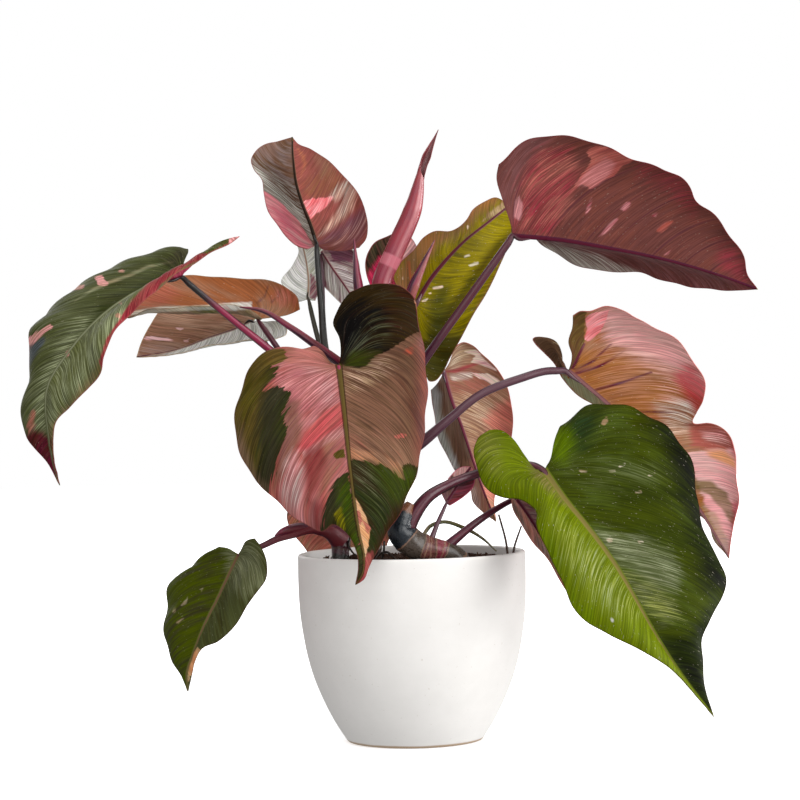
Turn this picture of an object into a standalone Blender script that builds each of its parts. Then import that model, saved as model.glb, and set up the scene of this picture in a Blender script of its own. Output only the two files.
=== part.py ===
"""A pink-variegated philodendron in a white ceramic pot.

The plant is set out as it is seen from the front. Each point of a leaf, stalk or stem is
(across, up, depth) in millimetres: across and up are measured on the upright plane through the
pot's axis, by an eye that looks level from EYE_DISTANCE in front of it with its head leaning a
little, and depth is how far behind that plane the point lies. The origin is the centre of the
pot's flat base.
"""

from collections import namedtuple

import bmesh
import bpy
import numpy as np

MM = 0.001
GAP = 0.3

# The eye: its place in across and up, the same place in x and z, its distance, and its lean
EYE_ACROSS = -9.5
EYE_UP = 269.0
EYE_X = -6.6
EYE_Z = 269.2
EYE_DISTANCE = 1850.0
EYE_LEAN_DEG = 1.2

# Pot, in mm
RIM_RADIUS = 90.4
RIM_HEIGHT = 148.4
RIM_ROUND = 1.2
BASE_RADIUS = 53.5
WALL = 4.0
FLOOR = 7.0
POT_SIDES = 44
# (radius, height) up the outside and down the inside of the wall
POT_OUTSIDE = ((55.0, 1.2), (62.8, 14), (72.4, 33), (79.2, 50), (84.0, 67), (87.2, 84), (89.2, 99),
               (90.4, 122))
POT_INSIDE = ((86.2, 122), (85.0, 99), (79.8, 67), (68.0, 33), (57.5, 14), (49.0, FLOOR + 1.5),
              (42.0, FLOOR))

# Potting mix, in mm
SOIL_TOP = 139.0
SOIL_DOME = 4.0
SOIL_SIDE = ((41.0, FLOOR + GAP), (47.5, FLOOR + 2.2), (56.3, 14), (66.8, 33), (78.6, 67),
             (84.0, 99), (85.4, 122), (85.7, SOIL_TOP - 1))

# Leaf blades: thickness and height of the rib below, in mm, and the rib's share along its length
BLADE = 0.8
RIB_HEIGHT = 1.5
RIB_SHARE = ((0.0, 0.08, 1.0), (0.1, 1.0, 0.2))
# How the rulings are spread along the rib and across each half
RULING_POWER = 1.15
ROWS = (0.0, 0.2, 0.45, 0.72, 1.0)
FAN_SHARE = 0.9
# The fan round a lobe ends where the margin passes this cosine from the rib, within two bounds
LOBE_END = 0.35
LOBE_LEAST = 0.12
LOBE_MOST = 0.6
LOBE_STEPS = 200
# A half that is at least this wide, in mm, swells by the leaf's whole crown
FULL_WIDTH = 40.0
SWELL_START = 0.1
SWELL_POWER = 0.6
UPPER = 1
LOWER = -1

# Rings along a tube and sides round it
STEM_MESH = (12, 10)
STALK_MESH = (11, 6)
SHEATH_MESH = (10, 8)
STRAP_MESH = (10, 6)
TWIG_MESH = (6, 6)
LEAST_RADIUS = 0.3

SHARP_DEG = 50

Leaf = namedtuple("Leaf", "shows crown steps notch stalk radii rib right left")

# shows says which face is seen from the front. rib runs from the stalk to the tip. right and left
# are the margins from the notch at the stalk round the lobe to the tip, named with the tip hanging
# down. notch says how many points of each margin lie along the notch. radii are the stalk's, from
# its foot to the blade. steps is the number of rulings along the rib.
LEAVES = {
    "front": Leaf(
        shows=UPPER, crown=7, steps=12, notch=(5, 3),
        radii=(4.0, 2.2),
        stalk=[(-27, 260, 3), (-35, 275, -14), (-47, 288, -38), (-58, 296, -58)],
        rib=[(-58, 296, -60), (-54, 261, -80), (-49, 213, -98), (-42, 163, -110), (-38, 143, -113),
             (-39, 132, -115), (-45, 122, -116)],
        right=[(-56, 307, -56), (-56, 318, -52), (-60, 329, -50), (-56, 340, -49), (-49, 355, -48),
               (-38, 360, -47), (-22, 361, -46), (-9, 360, -45), (1, 351, -45), (4, 337, -45),
               (9, 311, -46), (12, 281, -50), (10, 249, -58), (5, 217, -68), (-2, 196, -76),
               (-13, 174, -88), (-27, 151, -100), (-35, 134, -110), (-38, 127, -113)],
        left=[(-64, 298, -59), (-71, 306, -56), (-78, 312, -53), (-88, 310, -50), (-104, 310, -46),
              (-117, 308, -45), (-129, 293, -46), (-138, 269, -48), (-141, 249, -52),
              (-137, 229, -58), (-129, 212, -65), (-110, 191, -76), (-89, 173, -88),
              (-71, 165, -98), (-62, 170, -101), (-53, 164, -105), (-47, 156, -110), (-43, 144, -113),
              (-43, 132, -115)],
    ),
    "left": Leaf(
        shows=UPPER, crown=6, steps=13, notch=(3, 2),
        radii=(4.0, 2.4),
        stalk=[(-22, 232, 5), (-65, 269, -8), (-113, 309, -20), (-149, 338, -29), (-184, 367, -36)],
        rib=[(-184, 368, -38), (-211, 359, -52), (-239, 342, -66), (-273, 307, -80),
             (-289, 281, -88), (-288, 237, -92), (-280, 201, -92)],
        right=[(-176, 374, -45), (-163, 385, -52), (-137, 399, -60), (-157, 387, -66),
               (-183, 372, -74), (-196, 362, -85), (-211, 349, -95), (-227, 334, -104),
               (-239, 319, -118), (-245, 303, -125), (-246, 293, -126), (-257, 279, -120),
               (-272, 263, -110), (-283, 251, -101), (-285, 238, -97), (-284, 219, -94)],
        left=[(-180, 379, -30), (-178, 388, -12), (-200, 386, 0), (-228, 379, 5), (-251, 368, 0),
              (-270, 356, -10), (-291, 337, -25), (-304, 321, -45), (-305, 311, -50),
              (-303, 294, -60), (-305, 281, -65), (-310, 263, -72), (-310, 250, -77),
              (-307, 241, -80), (-299, 230, -86), (-289, 218, -90)],
    ),
    "rust": Leaf(
        shows=LOWER, crown=5, steps=10, notch=(1, 2),
        radii=(3.6, 2.2),
        stalk=[(-24, 198, 11), (-60, 235, 16), (-86, 277, 24), (-108, 312, 34), (-122, 332, 43)],
        rib=[(-122, 333, 45), (-146, 340, 38), (-176, 341, 30), (-208, 340, 25), (-226, 334, 22)],
        right=[(-119, 334, 40), (-129, 341, 22), (-138, 344, 10), (-151, 345, 2), (-176, 343, -4),
               (-208, 341, 0)],
        left=[(-104, 337, 60), (-89, 341, 75), (-92, 352, 82), (-102, 360, 86), (-115, 364, 88),
              (-146, 366, 86), (-174, 368, 80), (-190, 366, 75), (-208, 357, 60)],
    ),
    "brown": Leaf(
        shows=LOWER, crown=4, steps=9, notch=(3, 2),
        radii=(3.4, 2.0),
        stalk=[(-26, 187, 20), (-57, 225, 37), (-89, 269, 60), (-117, 315, 84), (-127, 331, 93)],
        rib=[(-127, 332, 95), (-141, 325, 88), (-159, 319, 82), (-186, 309, 74), (-219, 303, 66)],
        right=[(-119, 332, 92), (-108, 333, 82), (-99, 327, 74), (-100, 320, 67), (-108, 318, 63),
               (-130, 316, 60), (-157, 313, 60), (-174, 309, 62), (-191, 305, 64)],
        left=[(-119, 337, 108), (-114, 342, 125), (-133, 349, 135), (-161, 352, 135),
              (-188, 347, 125), (-200, 340, 110), (-208, 329, 95), (-216, 313, 78)],
    ),
    "upper": Leaf(
        shows=LOWER, crown=6, steps=10, notch=(2, 4),
        radii=(4.2, 2.2),
        stalk=[(-27, 255, 11), (-49, 266, 20), (-63, 285, 27), (-69, 309, 31), (-72, 345, 35),
               (-75, 378, 38), (-76, 394, 40)],
        rib=[(-76, 393, 40), (-80, 406, 38), (-88, 427, 38), (-92, 441, 42), (-94, 456, 50),
             (-95, 468, 62), (-95, 478, 78)],
        right=[(-78, 391, 44), (-84, 389, 50), (-91, 391, 55), (-101, 400, 62), (-107, 408, 66),
               (-115, 420, 69), (-118, 434, 69), (-119, 443, 70), (-126, 453, 72),
               (-128, 460, 74), (-124, 467, 76), (-117, 472, 78), (-106, 475, 80)],
        left=[(-71, 389, 46), (-62, 388, 54), (-52, 388, 62), (-42, 390, 68), (-37, 396, 70),
              (-35, 408, 70), (-37, 419, 69), (-42, 432, 66), (-57, 450, 64), (-67, 460, 68),
              (-80, 468, 74), (-91, 473, 78)],
    ),
    "silver": Leaf(
        shows=LOWER, crown=3, steps=7, notch=(1, 1),
        radii=(3.2, 1.8),
        stalk=[(-27, 240, 16), (-48, 258, 45), (-66, 290, 62), (-75, 319, 70), (-80, 339, 77),
               (-82, 348, 81)],
        rib=[(-83, 349, 83), (-82, 360, 86), (-84, 379, 95), (-89, 400, 104), (-97, 428, 108)],
        right=[(-91, 347, 86), (-97, 355, 90), (-104, 363, 94), (-95, 376, 98),
               (-90, 388, 102), (-97, 400, 108), (-103, 414, 112)],
        left=[(-77, 348, 80), (-73, 357, 83), (-70, 374, 92), (-66, 395, 101), (-70, 414, 108)],
    ),
    "plum": Leaf(
        shows=LOWER, crown=3, steps=7, notch=(2, 1),
        radii=(2.6, 1.5),
        stalk=[(-27, 272, 16), (-46, 281, 42), (-66, 303, 68), (-70, 330, 76), (-71, 360, 80),
               (-72, 385, 82)],
        rib=[(-72, 387, 82), (-62, 372, 80), (-52, 358, 74), (-44, 345, 66), (-40, 331, 58)],
        right=[(-66, 392, 85), (-53, 395, 87), (-44, 384, 84), (-41, 368, 77), (-38, 350, 66)],
        left=[(-73, 379, 84), (-71, 361, 86), (-65, 354, 84), (-56, 345, 78), (-48, 336, 68)],
    ),
    "olive": Leaf(
        shows=LOWER, crown=5, steps=9, notch=(2, 4),
        radii=(3.8, 2.3),
        stalk=[(-20, 286, 15), (-12, 313, 18), (-3, 332, 20), (2, 343, 20)],
        rib=[(3, 345, 20), (14, 364, 22), (25, 378, 25), (38, 392, 32), (59, 409, 55),
             (78, 424, 80)],
        right=[(-1, 349, 24), (-10, 355, 32), (-15, 367, 38), (-10, 377, 41), (1, 388, 42),
               (10, 399, 46), (17, 403, 50), (30, 403, 56), (43, 412, 62), (48, 420, 68),
               (58, 427, 75), (66, 430, 80)],
        left=[(4, 338, 23), (2, 325, 32), (6, 309, 38), (10, 291, 45), (13, 284, 48),
              (18, 284, 50), (24, 290, 50), (30, 302, 48), (39, 318, 45), (49, 337, 45),
              (60, 355, 48), (70, 376, 55), (78, 395, 64), (82, 410, 75)],
    ),
    "maroon": Leaf(
        shows=LOWER, crown=7, steps=12, notch=(4, 2),
        radii=(3.8, 3.0),
        stalk=[(-23, 251, 3), (10, 301, -5), (46, 351, -9), (81, 400, -10)],
        rib=[(80, 399, -10), (117, 396, -15), (153, 390, -20), (194, 382, -25), (238, 370, -32),
             (275, 357, -40)],
        right=[(79, 406, -14), (72, 426, -23), (67, 445, -32), (69, 456, -36), (82, 469, -40),
               (96, 477, -42), (117, 479, -44), (137, 476, -45), (157, 469, -46), (177, 460, -47),
               (198, 453, -48), (214, 446, -48), (221, 437, -47), (225, 429, -46),
               (238, 418, -45), (254, 398, -43), (264, 382, -42), (267, 368, -41)],
        left=[(79, 403, 0), (80, 409, 12), (90, 406, 30), (105, 392, 40), (125, 379, 42),
              (147, 372, 42), (169, 371, 40),
              (181, 370, 36), (207, 362, 20), (238, 357, -5), (262, 356, -30)],
    ),
    "rose": Leaf(
        shows=LOWER, crown=5, steps=10, notch=(2, 2),
        radii=(3.4, 2.2),
        stalk=[(-21, 207, 19), (-12, 245, 44), (2, 290, 60), (12, 305, 67), (21, 301, 70),
               (25, 290, 70)],
        rib=[(25, 291, 70), (32, 267, 66), (39, 249, 66), (47, 225, 68), (56, 199, 72),
             (67, 172, 75)],
        right=[(29, 297, 75), (35, 312, 80), (40, 315, 82), (49, 312, 82), (55, 306, 78),
               (68, 294, 76), (73, 285, 76), (77, 275, 76), (80, 260, 78), (79, 236, 82),
               (76, 213, 82), (66, 192, 80)],
        left=[(23, 288, 80), (15, 277, 95), (17, 260, 105), (23, 234, 108), (34, 214, 105),
              (46, 198, 98), (49, 188, 92), (56, 180, 85)],
    ),
    "young": Leaf(
        shows=LOWER, crown=2, steps=6, notch=(1, 1),
        radii=(2.2, 1.3),
        stalk=[(14, 154, -56), (20, 170, -52), (27, 186, -45)],
        rib=[(27, 187, -45), (33, 196, -43), (40, 207, -41), (47, 216, -38)],
        right=[(24, 194, -43), (26, 201, -40), (30, 208, -38), (40, 216, -37)],
        left=[(30, 185, -45), (41, 192, -44), (49, 201, -42), (50, 209, -40)],
    ),
    "green": Leaf(
        shows=UPPER, crown=8, steps=13, notch=(4, 5),
        radii=(4.6, 3.0),
        stalk=[(-5, 163, -61), (1, 176, -60), (12, 191, -57), (30, 202, -50), (51, 210, -44),
               (78, 216, -46), (98, 216, -55), (104, 213, -59)],
        rib=[(105, 213, -60), (120, 192, -78), (138, 170, -92), (161, 139, -105),
             (178, 110, -113), (192, 85, -118), (207, 61, -120), (240, 17, -120)],
        right=[(107, 216, -56), (110, 220, -50), (113, 232, -42), (118, 248, -35),
               (129, 257, -30), (143, 265, -28), (156, 266, -28), (174, 263, -30),
               (187, 257, -32), (204, 246, -38), (210, 239, -40), (221, 223, -46),
               (225, 210, -50), (226, 193, -56), (230, 174, -64), (236, 155, -74),
               (245, 141, -82), (249, 128, -88), (247, 112, -94), (236, 94, -102),
               (231, 77, -108), (231, 58, -112), (234, 36, -117)],
        left=[(101, 213, -60), (89, 223, -52), (78, 236, -48), (69, 243, -45), (61, 245, -44),
              (53, 240, -44), (50, 232, -46), (51, 218, -55), (55, 205, -62), (64, 195, -70),
              (74, 191, -78), (85, 190, -84), (93, 186, -92), (98, 181, -98), (99, 171, -105),
              (103, 159, -112), (110, 144, -120), (118, 128, -126), (129, 103, -132),
              (138, 93, -134), (156, 83, -135), (187, 67, -134), (207, 54, -130),
              (221, 39, -126)],
    ),
    "gold": Leaf(
        shows=LOWER, crown=7, steps=12, notch=(5, 4),
        radii=(4.0, 3.0),
        stalk=[(-18, 218, 6), (10, 237, -5), (30, 254, -7), (54, 273, -8), (86, 286, -5),
               (108, 292, -1), (122, 292, 0)],
        rib=[(124, 292, 0), (154, 267, 5), (185, 237, 8), (221, 193, 10), (252, 143, 5)],
        right=[(126, 296, -4), (127, 304, -8), (124, 314, -10), (127, 324, -15), (128, 336, -20),
               (133, 340, -22), (142, 340, -25), (156, 343, -28), (170, 340, -28),
               (178, 334, -28), (189, 328, -28), (204, 322, -28), (218, 308, -26),
               (227, 295, -24), (233, 281, -20), (232, 269, -15), (226, 259, -5), (224, 251, 6),
               (234, 251, 5), (245, 247, 0), (254, 239, -2), (257, 228, -2), (257, 216, -2),
               (260, 192, 0), (257, 175, 2), (253, 153, 4)],
        left=[(120, 296, 4), (118, 304, 8), (112, 314, 12), (103, 319, 14), (96, 318, 16),
              (98, 314, 18), (105, 306, 20), (114, 297, 24), (119, 287, 28), (127, 277, 38),
              (147, 263, 45), (181, 230, 50), (213, 190, 42), (235, 171, 26), (241, 156, 15),
              (248, 148, 9)],
    ),
    "low": Leaf(
        shows=UPPER, crown=5, steps=10, notch=(3, 2),
        radii=(4.6, 2.0),
        stalk=[(-56, 157, -4), (-64, 164, -8), (-76, 167, -12), (-96, 162, -17), (-106, 159, -19),
               (-119, 153, -22), (-136, 147, -25)],
        rib=[(-138, 146, -25), (-146, 129, -32), (-154, 112, -38), (-165, 90, -44),
             (-174, 67, -46), (-179, 52, -44), (-178, 37, -42)],
        right=[(-135, 150, -30), (-130, 156, -38), (-125, 159, -44), (-120, 152, -50),
               (-115, 139, -57), (-116, 127, -60), (-122, 118, -62), (-131, 105, -62),
               (-141, 89, -60), (-154, 77, -56), (-167, 71, -51), (-172, 62, -48),
               (-175, 50, -45)],
        left=[(-144, 150, -22), (-154, 152, -15), (-163, 148, -8), (-176, 135, 0),
              (-186, 130, 4), (-193, 121, 2), (-195, 105, -5), (-196, 78, -20), (-191, 63, -30),
              (-183, 49, -37)],
    ),
    "back": Leaf(
        shows=LOWER, crown=5, steps=9, notch=(2, 2),
        radii=(3.6, 2.2),
        stalk=[(-54, 159, 0), (-51, 205, 16), (-52, 232, 36), (-50, 240, 54), (-49, 238, 59)],
        rib=[(-49, 237, 60), (-53, 205, 85), (-57, 174, 100), (-60, 142, 108), (-62, 102, 112)],
        right=[(-44, 243, 58), (-34, 245, 58), (-24, 235, 62), (-18, 210, 75), (-16, 185, 88),
               (-16, 166, 96),
               (-21, 150, 102), (-33, 130, 107), (-49, 112, 111)],
        left=[(-54, 243, 58), (-66, 243, 58), (-77, 233, 63), (-88, 211, 76), (-96, 189, 88),
              (-99, 177, 95),
              (-95, 163, 100), (-84, 150, 105), (-73, 128, 110)],
    ),
    "crown": Leaf(
        shows=LOWER, crown=3, steps=6, notch=(2, 2),
        radii=(3.0, 1.8),
        stalk=[(-22, 318, 14), (-22, 333, 30), (-20, 343, 44), (-19, 347, 49)],
        rib=[(-19, 348, 50), (-17, 365, 53), (-14, 385, 57), (-11, 403, 62)],
        right=[(-23, 348, 49), (-31, 354, 48), (-36, 368, 50), (-35, 386, 54), (-30, 394, 57),
               (-20, 399, 60)],
        left=[(-15, 348, 52), (-8, 355, 58), (-1, 373, 62), (4, 390, 64), (-3, 400, 64)],
    ),
    "under": Leaf(
        shows=UPPER, crown=4, steps=9, notch=(2, 1),
        radii=(3.4, 2.2),
        stalk=[(27, 152, -56), (53, 173, -48), (77, 188, -37), (81, 190, -35)],
        rib=[(82, 191, -35), (94, 174, -45), (110, 146, -58), (130, 114, -72), (148, 85, -84)],
        right=[(86, 194, -32), (102, 194, -28), (118, 186, -30), (142, 166, -42),
               (153, 134, -58), (156, 106, -74)],
        left=[(79, 190, -39), (80, 183, -45), (87, 170, -55), (95, 157, -62), (108, 142, -70),
              (122, 118, -78), (137, 94, -82)],
    ),
}

# Stems, the rolled leaf and its sheaths: the middle line and the radius at each of its points
STEMS = {
    "main": ([(-18, 122, 14), (-22, 170, 13), (-25, 230, 11), (-25, 290, 8), (-22, 334, 6)],
             [10, 9.5, 8.5, 7.5, 6.0]),
    "left": ([(-57, 122, -6), (-57, 142, -6), (-56, 154, -4), (-53, 166, 0)],
             [7.5, 7.0, 7.5, 5.5]),
    "elbow": ([(44, 128, -54), (37, 143, -55), (24, 149, -57), (11, 151, -58), (-1, 156, -60),
               (-9, 166, -62), (-6, 178, -62), (-1, 187, -61)],
              [7.5, 8.5, 9.0, 10.0, 10.5, 9.5, 6.0, 2.0]),
}
ROLL = ([(-22, 330, 6), (-24, 345, 6), (-25, 361, 5), (-15, 385, 4), (1, 421, 2), (11, 456, 0), (21, 484, -5)],
        [4.2, 5.8, 7.2, 7.8, 6.8, 3.0, 0.5])
SHEATHS = {
    "left": ([(-32, 324, 9), (-40, 345, 10), (-43, 362, 11), (-46, 397, 12)],
             [4.0, 5.2, 4.6, 0.5]),
    "right": ([(-14, 326, 3), (-5, 343, -1), (2, 361, -4), (18, 396, -5)],
              [4.0, 5.6, 5.2, 0.5]),
    "long": ([(-31, 279, 1), (-45, 289, -9), (-59, 300, -14), (-77, 313, -15), (-97, 327, -15),
              (-119, 340, -14), (-137, 343, -12)],
             [4.2, 4.6, 4.4, 3.8, 3.0, 2.2, 0.6]),
}
TWIGS = {
    "left": ([(77, 128, -12), (75, 155, -12), (69, 178, -12)], [1.1, 1.0, 0.8]),
    "right": ([(80, 128, -2), (81, 150, -2), (87, 169, -2)], [1.1, 1.0, 0.7]),
}
STRAP = ([(8, 160, -49), (15, 169, -44), (24, 172, -40), (42, 167, -34), (56, 159, -26),
          (67, 149, -18)],
         [2.2, 2.2, 2.0, 2.2, 1.6, 0.8])

# Colours: red, green, blue
CERAMIC_WHITE = (0.86, 0.86, 0.84)
SOIL_BROWN = (0.06, 0.04, 0.03)
STEM_SLATE = (0.10, 0.10, 0.11)
STALK_RED = (0.22, 0.05, 0.10)
SHEATH_RED = (0.42, 0.05, 0.14)
STRAP_GREEN = (0.30, 0.33, 0.16)
TWIG_BROWN = (0.10, 0.05, 0.04)
BLADE_COLOURS = {
    "front": (0.45, 0.20, 0.18), "left": (0.13, 0.19, 0.09), "rust": (0.50, 0.25, 0.10),
    "brown": (0.33, 0.21, 0.18), "upper": (0.28, 0.18, 0.17), "silver": (0.55, 0.57, 0.54),
    "plum": (0.24, 0.15, 0.17), "olive": (0.30, 0.26, 0.06), "maroon": (0.28, 0.07, 0.10),
    "rose": (0.45, 0.24, 0.20), "young": (0.40, 0.30, 0.30), "green": (0.20, 0.33, 0.06),
    "gold": (0.62, 0.36, 0.22), "low": (0.14, 0.20, 0.09), "back": (0.48, 0.24, 0.12),
    "crown": (0.36, 0.10, 0.14), "under": (0.36, 0.22, 0.20),
}


def clear():
    """Empty the file's scene."""
    for thing in list(bpy.data.objects):
        bpy.data.objects.remove(thing, do_unlink=True)


def place(points):
    """Turn (across, up, depth) points in mm into x, y, z points in metres."""
    across, up, depth = np.asarray(points, float).T
    reach = (EYE_DISTANCE + depth) / EYE_DISTANCE
    aside = (across - EYE_ACROSS) * reach
    above = (up - EYE_UP) * reach
    lean = np.radians(EYE_LEAN_DEG)
    x = EYE_X + aside * np.cos(lean) + above * np.sin(lean)
    z = EYE_Z + above * np.cos(lean) - aside * np.sin(lean)
    return np.column_stack([x, depth, z]) * MM


def run_of(points):
    """How far along the line through the points each of them lies."""
    steps = np.linalg.norm(np.diff(np.asarray(points, float), axis=0), axis=1)
    return np.concatenate([[0.0], np.cumsum(steps)])


def along(points, fractions):
    """Read a smooth line through the points at fractions of its length."""
    points = np.asarray(points, float)
    knots = run_of(points)
    slopes = np.gradient(points, knots, axis=0)
    where = np.clip(np.asarray(fractions, float), 0.0, 1.0) * knots[-1]
    part = np.clip(np.searchsorted(knots, where, side="right") - 1, 0, len(knots) - 2)
    span = (knots[part + 1] - knots[part])[:, None]
    t = (where[:, None] - knots[part][:, None]) / span
    start = (1 + 2 * t) * (1 - t) ** 2 * points[part] + t * (1 - t) ** 2 * span * slopes[part]
    end = t * t * (3 - 2 * t) * points[part + 1] - t * t * (1 - t) * span * slopes[part + 1]
    return start + end


def unit(vectors):
    """Scale vectors to a length of one."""
    return vectors / np.maximum(np.linalg.norm(vectors, axis=-1, keepdims=True), 1e-12)


def paint(thing, name, colour, roughness):
    """Give an object its own material."""
    material = bpy.data.materials.new(name)
    material.use_nodes = True
    shader = material.node_tree.nodes["Principled BSDF"]
    shader.inputs["Base Color"].default_value = (*colour, 1.0)
    shader.inputs["Roughness"].default_value = roughness
    shader.inputs["Metallic"].default_value = 0.0
    thing.data.materials.clear()
    thing.data.materials.append(material)


def mesh_object(name, verts, faces):
    """Make a mesh object with its faces turned outward and shaded smooth."""
    mesh = bpy.data.meshes.new(name)
    mesh.from_pydata([tuple(v) for v in verts], [], [tuple(int(i) for i in f) for f in faces])
    work = bmesh.new()
    work.from_mesh(mesh)
    bmesh.ops.recalc_face_normals(work, faces=work.faces)
    work.to_mesh(mesh)
    work.free()
    mesh.shade_smooth()
    mesh.set_sharp_from_angle(angle=np.radians(SHARP_DEG))
    thing = bpy.data.objects.new(name, mesh)
    bpy.context.scene.collection.objects.link(thing)
    return thing


def turned(name, profile, sides):
    """Spin an open profile of (radius, height) points in mm, from axis to axis, into a solid."""
    verts = []
    rings = []
    for radius, height in profile:
        if radius == 0:
            rings.append([len(verts)])
            verts.append((0.0, 0.0, height * MM))
            continue
        rings.append(list(range(len(verts), len(verts) + sides)))
        for turn in np.linspace(0, 2 * np.pi, sides, endpoint=False):
            verts.append((radius * MM * np.cos(turn), radius * MM * np.sin(turn), height * MM))
    faces = []
    for low, high in zip(rings, rings[1:]):
        for i in range(sides):
            k = (i + 1) % sides
            if len(low) == 1:
                faces.append((low[0], high[i], high[k]))
            elif len(high) == 1:
                faces.append((low[i], low[k], high[0]))
            else:
                faces.append((low[i], low[k], high[k], high[i]))
    return mesh_object(name, verts, faces)


def tube(name, line, radii, grid, fatter=0.0):
    """Sweep a round section along a smooth line, with flat ends."""
    rings, sides = grid
    fractions = np.linspace(0, 1, rings)
    centres = along(place(line), fractions)
    run = run_of(line)
    radius = (np.interp(fractions, run / run[-1], radii) + fatter) * MM
    curve = bpy.data.curves.new(name, "CURVE")
    curve.dimensions = "3D"
    curve.bevel_depth = 1.0
    curve.bevel_resolution = (sides - 4) // 2
    curve.use_fill_caps = True
    spline = curve.splines.new("POLY")
    spline.points.add(rings - 1)
    for point, centre, size in zip(spline.points, centres, radius):
        point.co = (*centre, 1.0)
        point.radius = max(size, LEAST_RADIUS * MM)
    swept = bpy.data.objects.new(name, curve)
    bpy.context.scene.collection.objects.link(swept)
    depsgraph = bpy.context.evaluated_depsgraph_get()
    source = bpy.data.meshes.new_from_object(swept.evaluated_get(depsgraph))
    work = bmesh.new()
    work.from_mesh(source)
    bmesh.ops.remove_doubles(work, verts=work.verts, dist=0.001 * MM)
    bmesh.ops.triangulate(work, faces=[f for f in work.faces if len(f.verts) > 4])
    verts = [v.co.copy() for v in work.verts]
    faces = [[v.index for v in f.verts] for f in work.faces]
    work.free()
    bpy.data.objects.remove(swept, do_unlink=True)
    bpy.data.meshes.remove(source)
    return mesh_object(name, verts, faces)


def largest_body(mesh):
    """Drop the loose scraps that a cut leaves."""
    work = bmesh.new()
    work.from_mesh(mesh)
    waiting = set(work.verts)
    bodies = []
    while waiting:
        reached = [waiting.pop()]
        for vert in reached:
            fresh = {edge.other_vert(vert) for edge in vert.link_edges} & waiting
            waiting -= fresh
            reached.extend(fresh)
        bodies.append(reached)
    bodies.sort(key=len)
    for scrap in bodies[:-1]:
        bmesh.ops.delete(work, geom=scrap, context="VERTS")
    work.to_mesh(mesh)
    work.free()


def cut(thing, cutters):
    """Take the cutters out of an object and leave one clean body."""
    for cutter in cutters:
        cutter.hide_render = True
        cutter.display_type = "WIRE"
        step = thing.modifiers.new(cutter.name, "BOOLEAN")
        step.operation = "DIFFERENCE"
        step.solver = "EXACT"
        step.object = cutter
    depsgraph = bpy.context.evaluated_depsgraph_get()
    mesh = bpy.data.meshes.new_from_object(thing.evaluated_get(depsgraph))
    thing.modifiers.clear()
    thing.data = mesh
    largest_body(mesh)


def hump(t):
    """Rise from 0 at the rib to 1 at two thirds of the way out, and fall to 0 at the margin."""
    return 6.75 * t * t * (1 - t)


def leaf_sheet(leaf):
    """Work out a blade's middle sheet: its points, its triangles and each point's rib share.

    Each half is ruled from the rib to its margin. Round the lobe the rulings fan out from the
    stalk, then they move along the rib to the tip.
    """
    rib = place(leaf.rib)
    body = leaf.steps
    steps = np.linspace(0, 1, body + 1)
    spine = along(rib, steps)
    heading = unit(np.gradient(spine, axis=0))
    verts = [*spine]
    share = [*np.interp(steps, RIB_SHARE[0], RIB_SHARE[1])]
    tris = []
    for side, margin, notch in zip((1, -1), (leaf.right, leaf.left), leaf.notch):
        inner = along(place([leaf.rib[0]] + margin[:notch]), ROWS)
        bow = inner - inner[0] - np.outer(ROWS, inner[-1] - inner[0])
        outer = place(margin[notch - 1:] + [leaf.rib[-1]])
        fine = np.linspace(0, 1, LOBE_STEPS)
        sweep = unit(along(outer, fine) - rib[0]) @ heading[0]
        passed = max(fine[(sweep < LOBE_END) & (fine < LOBE_MOST)].max(initial=0.0), LOBE_LEAST)
        fan = max(1, round(FAN_SHARE * body * passed / (1 - passed)))
        turn = np.concatenate([
            np.linspace(0, passed, fan, endpoint=False),
            passed + (1 - passed) * steps ** (1 / RULING_POWER),
        ])
        edge = along(outer, turn)
        roots = np.concatenate([np.zeros(fan, int), np.arange(body + 1)])
        ruling = edge - spine[roots]
        out = unit(np.cross(heading[roots], ruling)) * side * leaf.shows
        reach = np.minimum(1.0, np.linalg.norm(ruling, axis=1) / (FULL_WIDTH * MM))
        run = np.pi * (SWELL_START + (1 - SWELL_START) * turn)
        swell = leaf.crown * MM * reach * np.maximum(0, np.sin(run)) ** SWELL_POWER
        fade = np.clip(1 - turn / passed, 0, 1) ** 2
        columns = []
        for i, root in enumerate(roots[:-1]):
            column = [int(root)]
            for t, bend in zip(ROWS[1:], bow[1:]):
                column.append(len(verts))
                rise = out[i] * swell[i] * hump(t)
                verts.append(spine[root] + ruling[i] * t + bend * fade[i] + rise)
                share.append(0.0)
            columns.append(column)
        flat = []
        for here, there in zip(columns, columns[1:]):
            for j in range(len(ROWS) - 1):
                flat.append((here[j], here[j + 1], there[j + 1]))
                if here[j] != there[j]:
                    flat.append((here[j], there[j + 1], there[j]))
        for j in range(len(ROWS) - 1):
            flat.append((columns[-1][j], columns[-1][j + 1], body))
        tris += [tri[::-side * leaf.shows] for tri in flat]
    return np.array(verts), np.array(tris), np.array(share)


def blade(name, leaf):
    """Thicken a leaf's sheet into a closed solid, with its rib standing out below."""
    verts, tris, share = leaf_sheet(leaf)
    corners = verts[tris]
    facing = np.cross(corners[:, 1] - corners[:, 0], corners[:, 2] - corners[:, 0])
    normals = np.zeros_like(verts)
    for k in range(3):
        np.add.at(normals, tris[:, k], facing)
    normals = unit(normals)
    top = verts + normals * BLADE / 2 * MM
    bottom = verts - normals * (BLADE / 2 + RIB_HEIGHT * share[:, None]) * MM
    count = len(verts)
    faces = [tuple(t) for t in tris] + [tuple(t[::-1] + count) for t in tris]
    edges = {(int(t[k]), int(t[(k + 1) % 3])) for t in tris for k in range(3)}
    for a, b in sorted(edges):
        if (b, a) not in edges:
            faces.append((b, a, a + count))
            faces.append((b, a + count, b + count))
    return mesh_object(name, np.vstack([top, bottom]), faces)


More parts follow.
